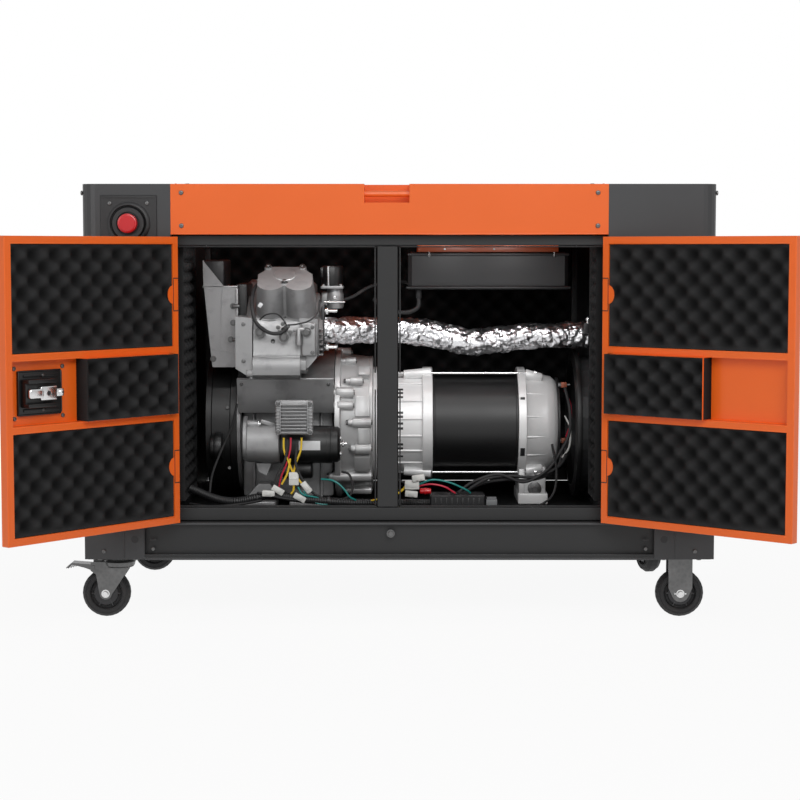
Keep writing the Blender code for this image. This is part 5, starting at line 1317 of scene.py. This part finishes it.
        bolts.rod((-0.128, y - 0.01, 0.3557), (-0.112, y - 0.01, 0.3557), 0.0034, sides=20)
        bolts.rod((-0.123, y - 0.01, 0.3557), (-0.118, y - 0.01, 0.3557), 0.0072, sides=6, width=0.001)
        bolts.made("starter_studs", "canopy", "zinc_steel", "turned_steel")
        label, rows = Mould(), []
        for x in (-0.2138, -0.1682):
            ring = []
            for radius in (0.04, 0.0407):
                turns = range(164, 196, 4) if radius < 0.0405 else range(192, 163, -4)
                ring += [label.form.verts.new((x, y + radius * math.cos(math.radians(a)),
                    z + radius * math.sin(math.radians(a)))) for a in turns]
            rows.append(ring)
        label.ring_faces(rows)
        label.made("starter_label", "canopy", "black_enamel", "label_stock")

    def regulator(self):
        """The finned block that rectifies the charging current."""
        low, high = corners("voltage_regulator", CANOPY)
        low, high = Vector((-0.2617, low.y, 0.38)), Vector((-0.1817, high.y, 0.454))
        front = low.y
        fins = Mould()
        fins.block((low.x, front + 0.008, low.z), (high.x, front + 0.02, high.z), 0.005, steps=3)
        fins.block((low.x + 0.02, front + 0.018, low.z + 0.006),
            (high.x - 0.02, front + 0.11, high.z - 0.006), 0.002)
        for k in range(9):
            z = low.z + 0.0058 + 0.0072 * k
            fins.block((low.x + 0.013, front - 0.004, z), (high.x - 0.013, front + 0.0085, z + 0.0024),
                0.0008)
            fins.block((low.x + 0.001, front + 0.004, z + 0.001),
                (low.x + 0.011, front + 0.0085, z + 0.003), 0.0006)
            fins.block((high.x - 0.011, front + 0.004, z + 0.001),
                (high.x - 0.001, front + 0.0085, z + 0.003), 0.0006)
        for x in (low.x + 0.0065, high.x - 0.0065):
            for z in (low.z + 0.007, high.z - 0.007):
                fins.rod((x, front + 0.01, z), (x, front + 0.002, z), 0.0066, 0.006, sides=24, width=0.001)
        for x in (low.x + 0.0115, high.x - 0.0115):
            fins.block((x - 0.001, front + 0.001, low.z + 0.003),
                (x + 0.001, front + 0.0085, high.z - 0.003), 0.0004)
        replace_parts(fins.made("regulator_fins", "canopy", "cast_alloy"), "voltage_regulator")
        ears = Mould()
        for x in (low.x + 0.0065, high.x - 0.0065):
            for z in (low.z + 0.007, high.z - 0.007):
                ears.screw((x, front + 0.002, z), (0, -1, 0), 0.0044)
        ears.made("regulator_bolts", "canopy", "zinc_steel")

    def intake(self):
        """The carburettor, its black air horn and the plate between them."""
        horn, body, bright = Mould(), Mould(), Mould()
        horn.lathe((-0.1464, 0.264, 0.6905), (0, 0, 1),
            [(0.01, 0.0), (0.0235, 0.0), (0.024, 0.001), (0.024, 0.04), (0.0225, 0.0435), (0.01, 0.044)],
            64)
        horn.block((-0.172, 0.25, 0.708), (-0.15, 0.3, 0.732), 0.003)
        horn.made("air_horn", "canopy", "black_plastic", "black_enamel")
        body.block((-0.1706, 0.236, 0.6845), (-0.1215, 0.292, 0.691), 0.002)
        body.lathe((-0.1405, 0.264, 0.642), (0, 0, 1),
            [(0.008, 0.0), (0.017, 0.0), (0.019, 0.004), (0.019, 0.03), (0.017, 0.036), (0.017, 0.043),
            (0.008, 0.043)], 56)
        body.block((-0.17, 0.256, 0.648), (-0.15, 0.3, 0.678), 0.004)
        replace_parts(body.made("carburettor_body", "canopy", "cast_alloy"), "carburettor")
        for x in (-0.165, -0.127):
            bright.bolt((x, 0.244, 0.691), (0, 0, 1), 0.004)
        bright.rod((-0.154, 0.2382, 0.691), (-0.154, 0.2382, 0.733), 0.0032, sides=20)
        bright.rod((-0.118, 0.244, 0.656), (-0.164, 0.244, 0.656), 0.002, sides=12)
        bright.screw((-0.1405, 0.245, 0.666), (0, -1, 0), 0.004)
        bright.made("carburettor_rods", "canopy", "zinc_steel", "turned_steel")
        hose = Mould()
        hose.tube([(-0.122, 0.27, 0.66), (-0.1, 0.272, 0.668), (-0.06, 0.29, 0.69), (0.0, 0.33, 0.7),
            (0.03, 0.35, 0.69)], 0.0036)
        hose.made("fuel_hose", "canopy", "black_plastic", "wheel_rubber")


# Exhaust


class WELDER_OT_exhaust(bpy.types.Operator):
    """Adds the crumpled foil round the exhaust pipe, its flange and its clamps"""

    bl_idname = "welder.exhaust"
    bl_label = "Exhaust"

    ROUTE = (
        (-0.1797, 0.235, 0.594), (-0.1277, 0.25, 0.595), (-0.04, 0.285, 0.594), (0.04, 0.3, 0.589),
        (0.1, 0.3, 0.579), (0.156, 0.3, 0.567), (0.244, 0.3, 0.575), (0.33, 0.3, 0.581),
        (0.407, 0.3, 0.583), (0.479, 0.3, 0.583),
    )

    def execute(self, context):
        self.wrap()
        steel, bolts = Mould(), Mould()
        steel.block((-0.168, 0.196, 0.55), (-0.161, 0.274, 0.648), 0.003)
        for x in (0.4, 0.413):
            steel.lathe((x, 0.3, 0.583), (1, 0, 0),
                [(0.029, 0.0), (0.0305, 0.001), (0.0305, 0.006), (0.029, 0.007)], 64, closed=True)
        steel.block((0.402, 0.258, 0.586), (0.418, 0.272, 0.61), 0.002)
        steel.made("exhaust_clamp", "canopy", "zinc_steel", "dark_steel")
        bolts.rod((0.411, 0.264, 0.6), (0.411, 0.264, 0.622), 0.0032, sides=16)
        for z in (0.606, 0.615):
            bolts.rod((0.411, 0.264, z), (0.411, 0.264, z + 0.005), 0.0058, sides=6, width=0.0008)
        for y, z in ((0.206, 0.638), (0.206, 0.5596), (0.264, 0.638), (0.264, 0.5596)):
            bolts.rod((-0.161, y, z), (-0.135, y, z), 0.0036, sides=16)
            bolts.rod((-0.16, y, z), (-0.1525, y, z), 0.0075, sides=6, width=0.001)
        bolts.made("exhaust_bolts", "canopy", "zinc_steel", "turned_steel")
        straps = Mould()
        for y in (0.2, 0.36, 0.52):
            straps.lathe((0.54, y, 0.583), (0, 1, 0),
                [(0.0601, 0.0), (0.0618, 0.001), (0.0618, 0.015), (0.0601, 0.016)], 72, closed=True)
        straps.made("muffler_bands", "canopy", "zinc_steel")
        return {"FINISHED"}

    def wrap(self):
        """Foil laid round the pipe in dents and sharp folds."""
        choice = settings().exhaust
        line = smooth_route(self.ROUTE, 0.0028)
        sides, rings, side = 84, [], Vector((0, 0, 1))
        drift = Vector((choice.seed * 3.1, choice.seed * 1.7, 0.0))
        mould = Mould()
        for index, point in enumerate(line):
            ahead = (line[min(index + 1, len(line) - 1)] - line[max(index - 1, 0)]).normalized()
            side = (side - ahead * side.dot(ahead)).normalized()
            other = ahead.cross(side)
            ring = []
            for k in range(sides):
                turn = 2 * math.pi * k / sides
                out = side * math.cos(turn) + other * math.sin(turn)
                spot = point + out * 0.029
                swirl = spot + Vector((noise.noise(spot * 60), noise.noise(spot * 60 + drift), 0)) * 0.012
                near, far = noise.voronoi(swirl * 36 + drift)[0][0:2]
                small, next_small = noise.voronoi(swirl * 90 + drift)[0][0:2]
                depth = choice.creases * (
                    0.55 * noise.noise(spot * 22 + drift) - 0.85 * near + 0.35 * min(0.5, far - near)
                    - 0.4 * small + 0.2 * min(0.5, next_small - small) + 0.34
                )
                ring.append(mould.form.verts.new(point + out * (0.029 + depth)))
            rings.append(ring)
        mould.ring_faces(rings)
        piece = mould.made("foil_wrap", "canopy", "foil", angle=14.0)
        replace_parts(piece, "exhaust_pipe")


# Alternator


class WELDER_OT_alternator(bpy.types.Operator):
    """Adds the ribs, rods, slots and terminals of the welding alternator"""

    bl_idname = "welder.alternator"
    bl_label = "Alternator"

    def around(self, x, radius, turn):
        a = math.radians(turn)
        return Vector((x, AXIS.y + radius * math.cos(a), AXIS.z + radius * math.sin(a)))

    def patch(self, mould, x, radius, turn, sizes):
        """A small plate that lies on a round face: sizes are its length, its width round and its thickness."""
        spot = self.around(x, radius, turn)
        along, out = Vector((1, 0, 0)), (spot - self.around(x, 0.0, turn)).normalized()
        basis = Matrix((along, along.cross(out), out)).transposed().to_4x4()
        made = bmesh.ops.create_cube(mould.form, size=1.0,
            matrix=Matrix.Translation(spot) @ basis @ Matrix.Diagonal((*sizes, 1.0)))
        mould.eased(made["verts"], min(sizes) * 0.3)

    def execute(self, context):
        self.bracket()
        self.stator()
        self.bell()
        self.terminals()
        return {"FINISHED"}

    def bracket(self):
        cast, slots, bolts = Mould(), Mould(), Mould()
        cast.lathe(
            (-0.0584, AXIS.y, AXIS.z), (1, 0, 0),
            [(0.1, 0.0), (0.1235, 0.0), (0.1248, 0.001), (0.1248, 0.01), (0.1235, 0.011), (0.114, 0.015),
                (0.1128, 0.02),
             (0.1128, 0.108), (0.124, 0.1092), (0.125, 0.1104), (0.125, 0.1302), (0.124, 0.1312),
             (0.1, 0.1312)],
            128, closed=True,
        )
        for turn in (98, 126, 150.5, 171, 190, 208, 226, 250, 60, 20, -20, -60):
            cast.rod(self.around(-0.046, 0.1135, turn), self.around(0.051, 0.1135, turn), 0.0024, sides=12)
        for turn in (112, 238, 60, -60):
            cast.rod(self.around(0.01, 0.119, turn), self.around(0.07, 0.1235, turn), 0.01, 0.012,
                width=0.001)
        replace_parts(cast.made("bracket_casting", "canopy", "cast_alloy", "bright_cast"),
            "alternator_bracket")
        # Thin black patches on the casting: painted shade in its slots.
        for turn in (112, 135, 140, 145.5, 164, 168.5, 176, 181.5, 200, 205, 216):
            for x in (-0.03, 0.002):
                self.patch(slots, x, 0.1128, turn, (0.012, 0.0052, 0.001))
        slots.made("bracket_slots", "canopy", "cast_alloy", "black_plastic")
        for turn in (112, 238, 60, -60):
            bolts.rod(self.around(0.06, 0.1228, turn), self.around(0.3, 0.1228, turn), 0.003, sides=16)
            bolts.bolt(self.around(0.059, 0.1228, turn), (-1, 0, 0), 0.006)
            bolts.bolt(self.around(0.298, 0.1228, turn), (1, 0, 0), 0.006)
        bolts.made("tie_rods", "canopy", "zinc_steel", "turned_steel")

    def stator(self):
        body = Mould()
        body.lathe(
            (0.0733, AXIS.y, AXIS.z), (1, 0, 0),
            [(0.095, 0.0), (0.1128, 0.0), (0.1135, 0.001), (0.1135, 0.004), (0.1125, 0.005),
                (0.1125, 0.182), (0.1135, 0.183), (0.1135, 0.1862), (0.1128, 0.187), (0.095, 0.187)],
            160, closed=True,
        )
        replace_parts(body.made("stator_shell", "canopy", "black_enamel"), "alternator_stator")

    def bell(self):
        cast, dark, bolts = Mould(), Mould(), Mould()
        cast.lathe(
            (0.2606, AXIS.y, AXIS.z), (1, 0, 0),
            [(0.1, 0.0), (0.124, 0.0), (0.125, 0.001), (0.125, 0.0165), (0.124, 0.0175), (0.112, 0.0185),
                (0.1105, 0.021),
             (0.107, 0.062), (0.104, 0.076), (0.096, 0.085), (0.088, 0.09), (0.06, 0.092), (0.06, 0.07),
             (0.085, 0.05), (0.1, 0.03)],
            128, closed=True,
        )
        for turn in (139, 168, 192, 216, 100, 250, 60, 20, -20, -60):
            near, far = self.around(0.279, 0.1085, turn), self.around(0.324, 0.105, turn)
            cast.rod(near, far, 0.0042, 0.0018, sides=12)
        for turn in (112, 238, 60, -60):
            cast.rod(self.around(0.278, 0.119, turn), self.around(0.315, 0.112, turn), 0.0125, 0.009,
                width=0.0015)
        cast.block((0.2615, 0.278, 0.209), (0.3275, 0.44, 0.233), 0.003, steps=3)
        cast.block((0.264, 0.3, 0.23), (0.324, 0.43, 0.29), 0.004)
        cast.block((0.263, 0.28, 0.231), (0.276, 0.32, 0.29), 0.003)
        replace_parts(cast.made("bell_casting", "canopy", "cast_alloy", "bright_cast"), "alternator_end_bell")
        # Thin black patches in the bell's cut-outs are painted shade, and a black ring makes its far rim dark.
        self.patch(dark, 0.269, 0.125, 150, (0.01, 0.006, 0.0008))
        self.patch(dark, 0.269, 0.125, 206, (0.01, 0.02, 0.0008))
        dark.lathe((0.348, AXIS.y, AXIS.z), (1, 0, 0),
            [(0.085, 0.0), (0.101, 0.0), (0.102, 0.001), (0.102, 0.004), (0.101, 0.005), (0.085, 0.005)],
            96, closed=True)
        dark.made("bell_slots", "canopy", "black_plastic")
        bolts.bolt((0.299, 0.29, 0.242), (0, -1, 0), 0.007)
        bolts.rod((0.299, 0.288, 0.242), (0.299, 0.302, 0.242), 0.015, sides=32, width=0.002)
        bolts.made("bell_nut", "canopy", "zinc_steel")
        rim = Mould()
        rim.lathe((0.3915, AXIS.y, AXIS.z), (-1, 0, 0),
            [(0.138, -0.004), (0.165, -0.004), (0.166, 0.0), (0.165, 0.006), (0.15, 0.009), (0.138, 0.009)],
            128, closed=True)
        rim.made("outlet_rim", "canopy", "charcoal_paint", "black_enamel")

    def terminals(self):
        """The terminals behind the bell, and the leads that run down in front of its foot."""
        studs, blocks = Mould(), Mould()
        for z, y in ((0.4718, 0.3), (0.3496, 0.29)):
            blocks.block((0.356, y - 0.006, z - 0.006), (0.369, y + 0.006, z + 0.006), 0.0016)
            studs.rod((0.35, y, z), (0.36, y, z), 0.006, sides=6, width=0.0006)
            studs.rod((0.368, y, z), (0.376, y, z), 0.003, sides=16)
        blocks.made("terminal_blocks", "canopy", "black_plastic", "copper")
        studs.made("terminal_studs", "canopy", "zinc_steel")
        leads = (
            ("bell_leads", "wheel_rubber", 0.0034, (
                ((0.364, 0.284, 0.466), (0.372, 0.25, 0.42), (0.369, 0.23, 0.37), (0.348, 0.214, 0.33),
                    (0.319, 0.205, 0.293), (0.2691, 0.202, 0.2679), (0.2126, 0.198, 0.285),
                    (0.1563, 0.19, 0.2681), (0.125, 0.17, 0.248), (0.115, 0.15, 0.253)),
                ((0.364, 0.28, 0.346), (0.362, 0.24, 0.32), (0.34, 0.216, 0.296), (0.29, 0.208, 0.278),
                    (0.24, 0.204, 0.281), (0.19, 0.194, 0.276), (0.15, 0.17, 0.256), (0.145, 0.15, 0.25)),
                ((0.36, 0.286, 0.34), (0.35, 0.25, 0.302), (0.324, 0.222, 0.282), (0.28, 0.214, 0.27),
                    (0.23, 0.21, 0.272), (0.18, 0.206, 0.264), (0.13, 0.19, 0.242), (0.09, 0.17, 0.226)),
            )),
            ("pale_lead", "white_nylon", 0.002, (
                ((0.364, 0.282, 0.404), (0.373, 0.25, 0.38), (0.37, 0.24, 0.34), (0.356, 0.25, 0.316)),
            )),
            ("brown_lead", "red_sheath", 0.0022, (
                ((0.364, 0.29, 0.46), (0.374, 0.26, 0.43), (0.374, 0.256, 0.39), (0.366, 0.27, 0.36)),
            )),
        )
        for name, look, radius, routes in leads:
            lead = Mould()
            for route in routes:
                lead.tube(route, radius, sides=12)
            lead.made(name, "canopy", "black_plastic", look)


# Tank, wires and casters


class WELDER_OT_tank(bpy.types.Operator):
    """Adds the lip, the mounting rail and the fittings of the fuel tank"""

    bl_idname = "welder.tank"
    bl_label = "Fuel tank"

    def execute(self, context):
        low, high = 0.019, 0.367
        lip = Mould()
        lip.block((low - 0.002, 0.2385, 0.6836), (high + 0.002, 0.252, 0.6905), 0.0032, steps=3)
        lip.block((low - 0.001, 0.244, 0.756), (high + 0.001, 0.2512, 0.762), 0.002)
        lip.made("tank_lip", "canopy", "black_plastic")
        rail, bolts = Mould(), Mould()
        rail.block((0.041, 0.2415, 0.7652), (0.3445, 0.245, 0.776), 0.0012)
        rail.block((0.041, 0.243, 0.7642), (0.3445, 0.26, 0.7656), 0.0004)
        for x in (0.065, 0.336):
            bolts.rod((x, 0.246, 0.764), (x, 0.246, 0.753), 0.0022, sides=12)
            bolts.rod((x, 0.246, 0.76), (x, 0.246, 0.755), 0.0044, sides=6, width=0.0005)
        # The rail takes the darker orange: painted shade under the roof.
        rail.made("tank_rail", "canopy", "orange_paint", "strip_paint")
        for x in (0.098, 0.205):
            bolts.bolt((x, 0.2415, 0.7705), (0, -1, 0), 0.0026, washer=False)
        bolts.made("tank_bolts", "canopy", "zinc_steel")
        outlet = Mould()
        outlet.rod((0.042, 0.26, 0.6835), (0.042, 0.26, 0.664), 0.007, 0.006, sides=24, width=0.001)
        outlet.tube([(0.042, 0.26, 0.666), (0.04, 0.256, 0.644), (0.015, 0.26, 0.633),
            (-0.025, 0.272, 0.638), (-0.056, 0.3, 0.66)], 0.0046)
        outlet.made("tank_outlet", "canopy", "black_plastic", "wheel_rubber")
        return {"FINISHED"}


class WELDER_OT_wiring(bpy.types.Operator):
    """Adds the loom, its loose wires, the plugs and the relay"""

    bl_idname = "welder.wiring"
    bl_label = "Wiring"

    def execute(self, context):
        loom = Mould()
        loom.tube(
            [(-0.4464, 0.15, 0.26), (-0.385, 0.125, 0.24), (-0.34, 0.105, 0.239), (-0.27, 0.1, 0.252),
             (-0.2, 0.095, 0.244), (-0.1, 0.1, 0.236), (0.0, 0.126, 0.232), (0.0643, 0.13, 0.231)],
            0.0082, sides=16, corrugated=0.001,
        )
        piece = loom.made("engine_loom", "canopy", "black_plastic", angle=50.0)
        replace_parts(piece, "engine_harness")
        ties = Mould()
        for x, y, z in ((-0.3, 0.101, 0.247), (-0.15, 0.0975, 0.2402), (-0.05, 0.113, 0.2335)):
            ties.lathe((x - 0.002, y, z), (1, 0.05, -0.05),
                [(0.0092, 0.0), (0.0108, 0.0), (0.0108, 0.004), (0.0092, 0.004)], 32, closed=True)
        ties.made("loom_ties", "canopy", "black_plastic")
        wires = (
            ("yellow_wires", "yellow_sheath", 0.0022, (
                ((-0.244, 0.1, 0.374), (-0.243, 0.096, 0.348), (-0.234, 0.094, 0.324),
                    (-0.225, 0.094, 0.302)),
                ((-0.206, 0.1, 0.374), (-0.208, 0.096, 0.348), (-0.217, 0.094, 0.324),
                    (-0.2225, 0.094, 0.302)),
                ((-0.2225, 0.094, 0.274), (-0.224, 0.094, 0.262), (-0.232, 0.095, 0.252)),
                ((-0.218, 0.095, 0.3), (-0.212, 0.093, 0.286), (-0.204, 0.09, 0.276)),
                ((-0.23, 0.097, 0.33), (-0.236, 0.092, 0.3), (-0.248, 0.09, 0.276)),
                ((0.012, 0.098, 0.27), (0.002, 0.096, 0.26), (-0.02, 0.098, 0.248), (-0.06, 0.104, 0.24)),
            )),
            ("teal_wires", "teal_sheath", 0.002, (
                ((0.042, 0.096, 0.276), (0.07, 0.09, 0.286), (0.105, 0.093, 0.28), (0.14, 0.1, 0.264),
                    (0.15, 0.106, 0.256)),
                ((-0.202, 0.092, 0.262), (-0.185, 0.09, 0.242), (-0.16, 0.09, 0.234),
                    (-0.13, 0.093, 0.238)),
                ((-0.165, 0.102, 0.286), (-0.14, 0.092, 0.284), (-0.12, 0.09, 0.27), (-0.105, 0.09, 0.25),
                    (-0.092, 0.096, 0.242)),
                ((-0.214, 0.093, 0.27), (-0.204, 0.088, 0.256), (-0.182, 0.089, 0.25),
                    (-0.15, 0.096, 0.244)),
                ((0.19, 0.1, 0.23), (0.196, 0.094, 0.22), (0.18, 0.086, 0.214), (0.15, 0.084, 0.212)),
            )),
            ("red_wires", "red_sheath", 0.002, (
                ((0.042, 0.1, 0.272), (0.068, 0.095, 0.276), (0.096, 0.096, 0.27), (0.118, 0.102, 0.256)),
                ((-0.229, 0.1, 0.374), (-0.23, 0.097, 0.35), (-0.238, 0.096, 0.32), (-0.25, 0.097, 0.29),
                    (-0.256, 0.099, 0.26)),
            )),
            ("black_wires", "wheel_rubber", 0.0026, (
                ((-0.236, 0.099, 0.37), (-0.24, 0.09, 0.33), (-0.256, 0.088, 0.298), (-0.26, 0.09, 0.276),
                    (-0.248, 0.091, 0.26)),
                ((-0.216, 0.099, 0.36), (-0.218, 0.09, 0.32), (-0.206, 0.088, 0.29), (-0.186, 0.089, 0.262),
                    (-0.16, 0.093, 0.244)),
                ((-0.3, 0.093, 0.258), (-0.276, 0.088, 0.254), (-0.24, 0.088, 0.246), (-0.19, 0.09, 0.24),
                    (-0.13, 0.094, 0.234)),
                ((-0.446, 0.13, 0.23), (-0.4, 0.105, 0.228), (-0.34, 0.095, 0.233), (-0.29, 0.09, 0.242)),
                ((-0.124, 0.1618, 0.295), (-0.108, 0.156, 0.29), (-0.1, 0.14, 0.268),
                    (-0.106, 0.118, 0.248), (-0.13, 0.104, 0.24)),
                ((0.012, 0.102, 0.278), (-0.01, 0.102, 0.286), (-0.026, 0.12, 0.276), (-0.03, 0.13, 0.25),
                    (-0.02, 0.128, 0.236)),
                ((0.181, 0.13, 0.23), (0.21, 0.124, 0.222), (0.25, 0.136, 0.216), (0.29, 0.16, 0.218),
                    (0.33, 0.19, 0.24), (0.34, 0.204, 0.29), (0.33, 0.206, 0.35)),
                ((-0.405, 0.134, 0.246), (-0.4, 0.15, 0.29), (-0.382, 0.17, 0.34), (-0.36, 0.176, 0.39),
                    (-0.348, 0.176, 0.44)),
            )),
        )
        for name, look, radius, routes in wires:
            bunch = Mould()
            for route in routes:
                bunch.tube(route, radius, sides=8, step=0.004)
            bunch.made(name, "canopy", "black_plastic", look)
        plugs = Mould()
        plugs.block((-0.233, 0.089, 0.274), (-0.212, 0.099, 0.302), 0.002)
        plugs.block((-0.2305, 0.0878, 0.286), (-0.2145, 0.09, 0.2905), 0.0008)
        plugs.block((0.011, 0.091, 0.265), (0.042, 0.104, 0.283), 0.002)
        plugs.block((0.016, 0.0895, 0.27), (0.037, 0.0915, 0.278), 0.0008)
        for x, z, turn in ((-0.256, 0.264, 0.55), (-0.21, 0.248, 0.5), (-0.196, 0.27, 0.9),
            (-0.276, 0.257, 0.05), (0.04, 0.29, -0.15), (0.025, 0.256, 0.1)):
            tilt = Matrix.Rotation(turn, 4, "Y")
            plugs.block((x - 0.0135, 0.085, z - 0.0065), (x + 0.0135, 0.096, z + 0.0065), 0.002, turn=tilt)
            plugs.block((x - 0.006, 0.0835, z - 0.004), (x + 0.006, 0.086, z + 0.004), 0.0008, turn=tilt)
        plugs.made("wire_plugs", "canopy", "black_plastic", "white_nylon")
        low, high = corners("control_module", CANOPY)
        box, relay, fuse = Mould(), Mould(), Mould()
        box.block((low.x - 0.006, low.y + 0.004, low.z + 0.001),
            (high.x + 0.006, low.y + 0.02, low.z + 0.004), 0.001)
        for k in range(9):
            x = low.x + 0.012 + 0.0115 * k
            box.block((x - 0.002, low.y - 0.0016, low.z + 0.008),
                (x + 0.002, low.y + 0.001, high.z - 0.006), 0.001)
        box.made("module_ribs", "canopy", "black_plastic")
        relay.block((0.1835, 0.106, 0.209), (0.207, 0.129, 0.242), 0.002)
        relay.block((0.185, 0.1075, 0.2415), (0.2055, 0.1275, 0.246), 0.0012)
        relay.made("relay", "canopy", "black_plastic", "grey_plastic")
        fuse.rod((0.043, 0.106, 0.26), (0.067, 0.106, 0.26), 0.0062, sides=24, width=0.0015)
        fuse.rod((0.052, 0.106, 0.26), (0.058, 0.106, 0.26), 0.0072, sides=24, width=0.001)
        fuse.made("fuse_holder", "canopy", "red_plastic")
        posts, low, high = Mould(), *corners("battery", CANOPY)
        for y in (low.y + 0.03, high.y - 0.03):
            posts.rod((-0.53, y, high.z - 0.001), (-0.53, y, high.z + 0.014), 0.009, 0.008, sides=32,
                width=0.001)
            posts.block((-0.544, y - 0.013, high.z + 0.002), (-0.516, y + 0.013, high.z + 0.011), 0.002)
        posts.made("battery_posts", "canopy", "zinc_steel", "dark_steel")
        return {"FINISHED"}


class WELDER_OT_casters(bpy.types.Operator):
    """Adds the tyres' ribs, the races, the axle nuts and the brake pedal's treads"""

    bl_idname = "welder.casters"
    bl_label = "Casters"

    def execute(self, context):
        for name, fork in (
            ("front_left", "caster_front_left_swivel"), ("front_right", "canopy"),
            ("rear_right", "caster_rear_right_swivel"), ("rear_left", "canopy"),
        ):
            row = joint(f"caster_{name}_wheel_spin")
            hub, axis = Vector(row["pos_m"]), Vector(row["axis"]).normalized()
            place = Matrix.Translation(hub) @ facing(axis)
            self.wheel(name, place)
            self.fittings(name, fork, place)
        self.races()
        self.pedal()
        return {"FINISHED"}

    def wheel(self, name, place):
        """Two raised rings and a ribbed hub on each face of a wheel."""
        rings, disc = Mould(place), Mould(place)
        for side in (-1, 1):
            for radius, wide in ((0.042, 0.0022), (0.033, 0.0018)):
                rings.lathe((0, 0, side * 0.0146), (0, 0, side),
                    [(radius, 0.0), (radius, 0.001), (radius + wide * 0.5, 0.0018), (radius + wide, 0.001),
                    (radius + wide, 0.0)], 72, closed=True)
            disc.lathe((0, 0, side * 0.0148), (0, 0, side),
                [(0.012, 0.0), (0.012, 0.0014), (0.024, 0.0014), (0.0255, 0.0)], 64, closed=True)
            for k in range(6):
                a = 2 * math.pi * k / 6
                out = Vector((math.cos(a), math.sin(a), 0))
                disc.rod(out * 0.0125 + Vector((0, 0, side * 0.015)),
                    out * 0.03 + Vector((0, 0, side * 0.015)), 0.0016, sides=8)
        rings.made(f"{name}_tyre_rings", f"caster_{name}_wheel", "wheel_rubber")
        disc.made(f"{name}_hub_ribs", f"caster_{name}_wheel", "wheel_rubber", "dark_steel")

    def fittings(self, name, body, place):
        nuts = Mould(place)
        for side in (-1, 1):
            face = Vector((0, 0, side * 0.0211))
            nuts.bolt(face, (0, 0, side), 0.0064)
            if name in ("front_right", "rear_left"):
                for spot in ((-0.011, 0.0), (0.011, 0.0)):
                    nuts.screw(face + Vector((spot[0], spot[1], 0)), (0, 0, side), 0.0022)
        nuts.made(f"{name}_axle_nuts", body, "zinc_steel", "turned_steel")
        top = Mould()
        middle = corners({"front_left": "caster_front_left_plate", "front_right": "caster_front_right_fork",
                          "rear_right": "caster_rear_right_plate",
                          "rear_left": "caster_rear_left_fork"}[name], CANOPY)
        spot = (middle[0] + middle[1]) / 2
        for x in (-0.037, 0.037):
            for y in (-0.0245, 0.0245):
                top.rod((spot.x + x, spot.y + y, 0.1266), (spot.x + x, spot.y + y, 0.122), 0.0056, sides=6,
                    width=0.0006)
        top.made(f"{name}_plate_bolts", "canopy", "zinc_steel")

    def races(self):
        for name in ("front_left", "rear_right"):
            pivot = joint(f"caster_{name}_swivel_turn")["pos_m"]
            race = Mould(Matrix())
            race.lathe((pivot[0], pivot[1], 0.1075), (0, 0, 1),
                [(0.02, 0.0), (0.03, 0.0), (0.032, 0.004), (0.032, 0.0075), (0.0285, 0.011), (0.02, 0.012)],
                72, closed=True)
            race.made(f"{name}_race", "canopy", "zinc_steel")
            crown = Mould(Matrix())
            crown.lathe((pivot[0], pivot[1], 0.1052), (0, 0, 1),
                [(0.018, 0.0), (0.029, 0.0), (0.03, 0.001), (0.029, 0.0018), (0.018, 0.0018)], 72,
                closed=True)
            crown.made(f"{name}_crown", f"caster_{name}_swivel", "zinc_steel")

    def pedal(self):
        low, high = corners("caster_front_left_pedal", CANOPY)
        treads = Mould()
        for k in range(4):
            x = low.x + 0.005 + 0.0052 * k
            treads.rod((x, low.y + 0.006, low.z + 0.0042 + 0.0013 * k),
                (x, high.y - 0.006, low.z + 0.0042 + 0.0013 * k), 0.001, sides=8)
        treads.made("pedal_treads", "caster_front_left_pedal", "zinc_steel")


# Panel and start


OPERATORS = (
    WELDER_OT_stage, WELDER_OT_finishes, WELDER_OT_foam, WELDER_OT_canopy, WELDER_OT_controls,
    WELDER_OT_doors,
    WELDER_OT_engine, WELDER_OT_exhaust, WELDER_OT_alternator, WELDER_OT_tank, WELDER_OT_wiring,
    WELDER_OT_casters,
)


class WELDER_PT_panel(bpy.types.Panel):
    """Lists what builds the welder, in order"""

    bl_idname = "WELDER_PT_panel"
    bl_label = "Engine driven welder"
    bl_space_type = "VIEW_3D"
    bl_region_type = "UI"
    bl_category = "Welder"

    def draw(self, context):
        for group in (context.scene.welder.paint, context.scene.welder.foam, context.scene.welder.exhaust,
            context.scene.welder.stage):
            for name in group.bl_rna.properties.keys():
                if name not in ("rna_type", "name"):
                    self.layout.prop(group, name)
        for operator in OPERATORS:
            self.layout.operator(operator.bl_idname)


CLASSES = (
    WelderStageSettings, WelderPaintSettings, WelderFoamSettings, WelderExhaustSettings, WelderSettings,
    *OPERATORS, WELDER_PT_panel,
)


def register():
    for kind in CLASSES:
        bpy.utils.register_class(kind)
    bpy.types.Scene.welder = PointerProperty(type=WelderSettings)


def unregister():
    del bpy.types.Scene.welder
    for kind in reversed(CLASSES):
        bpy.utils.unregister_class(kind)


def main():
    register()
    for operator in OPERATORS:
        getattr(bpy.ops.welder, operator.bl_idname.split(".")[1])()


if __name__ == "__main__":
    main()
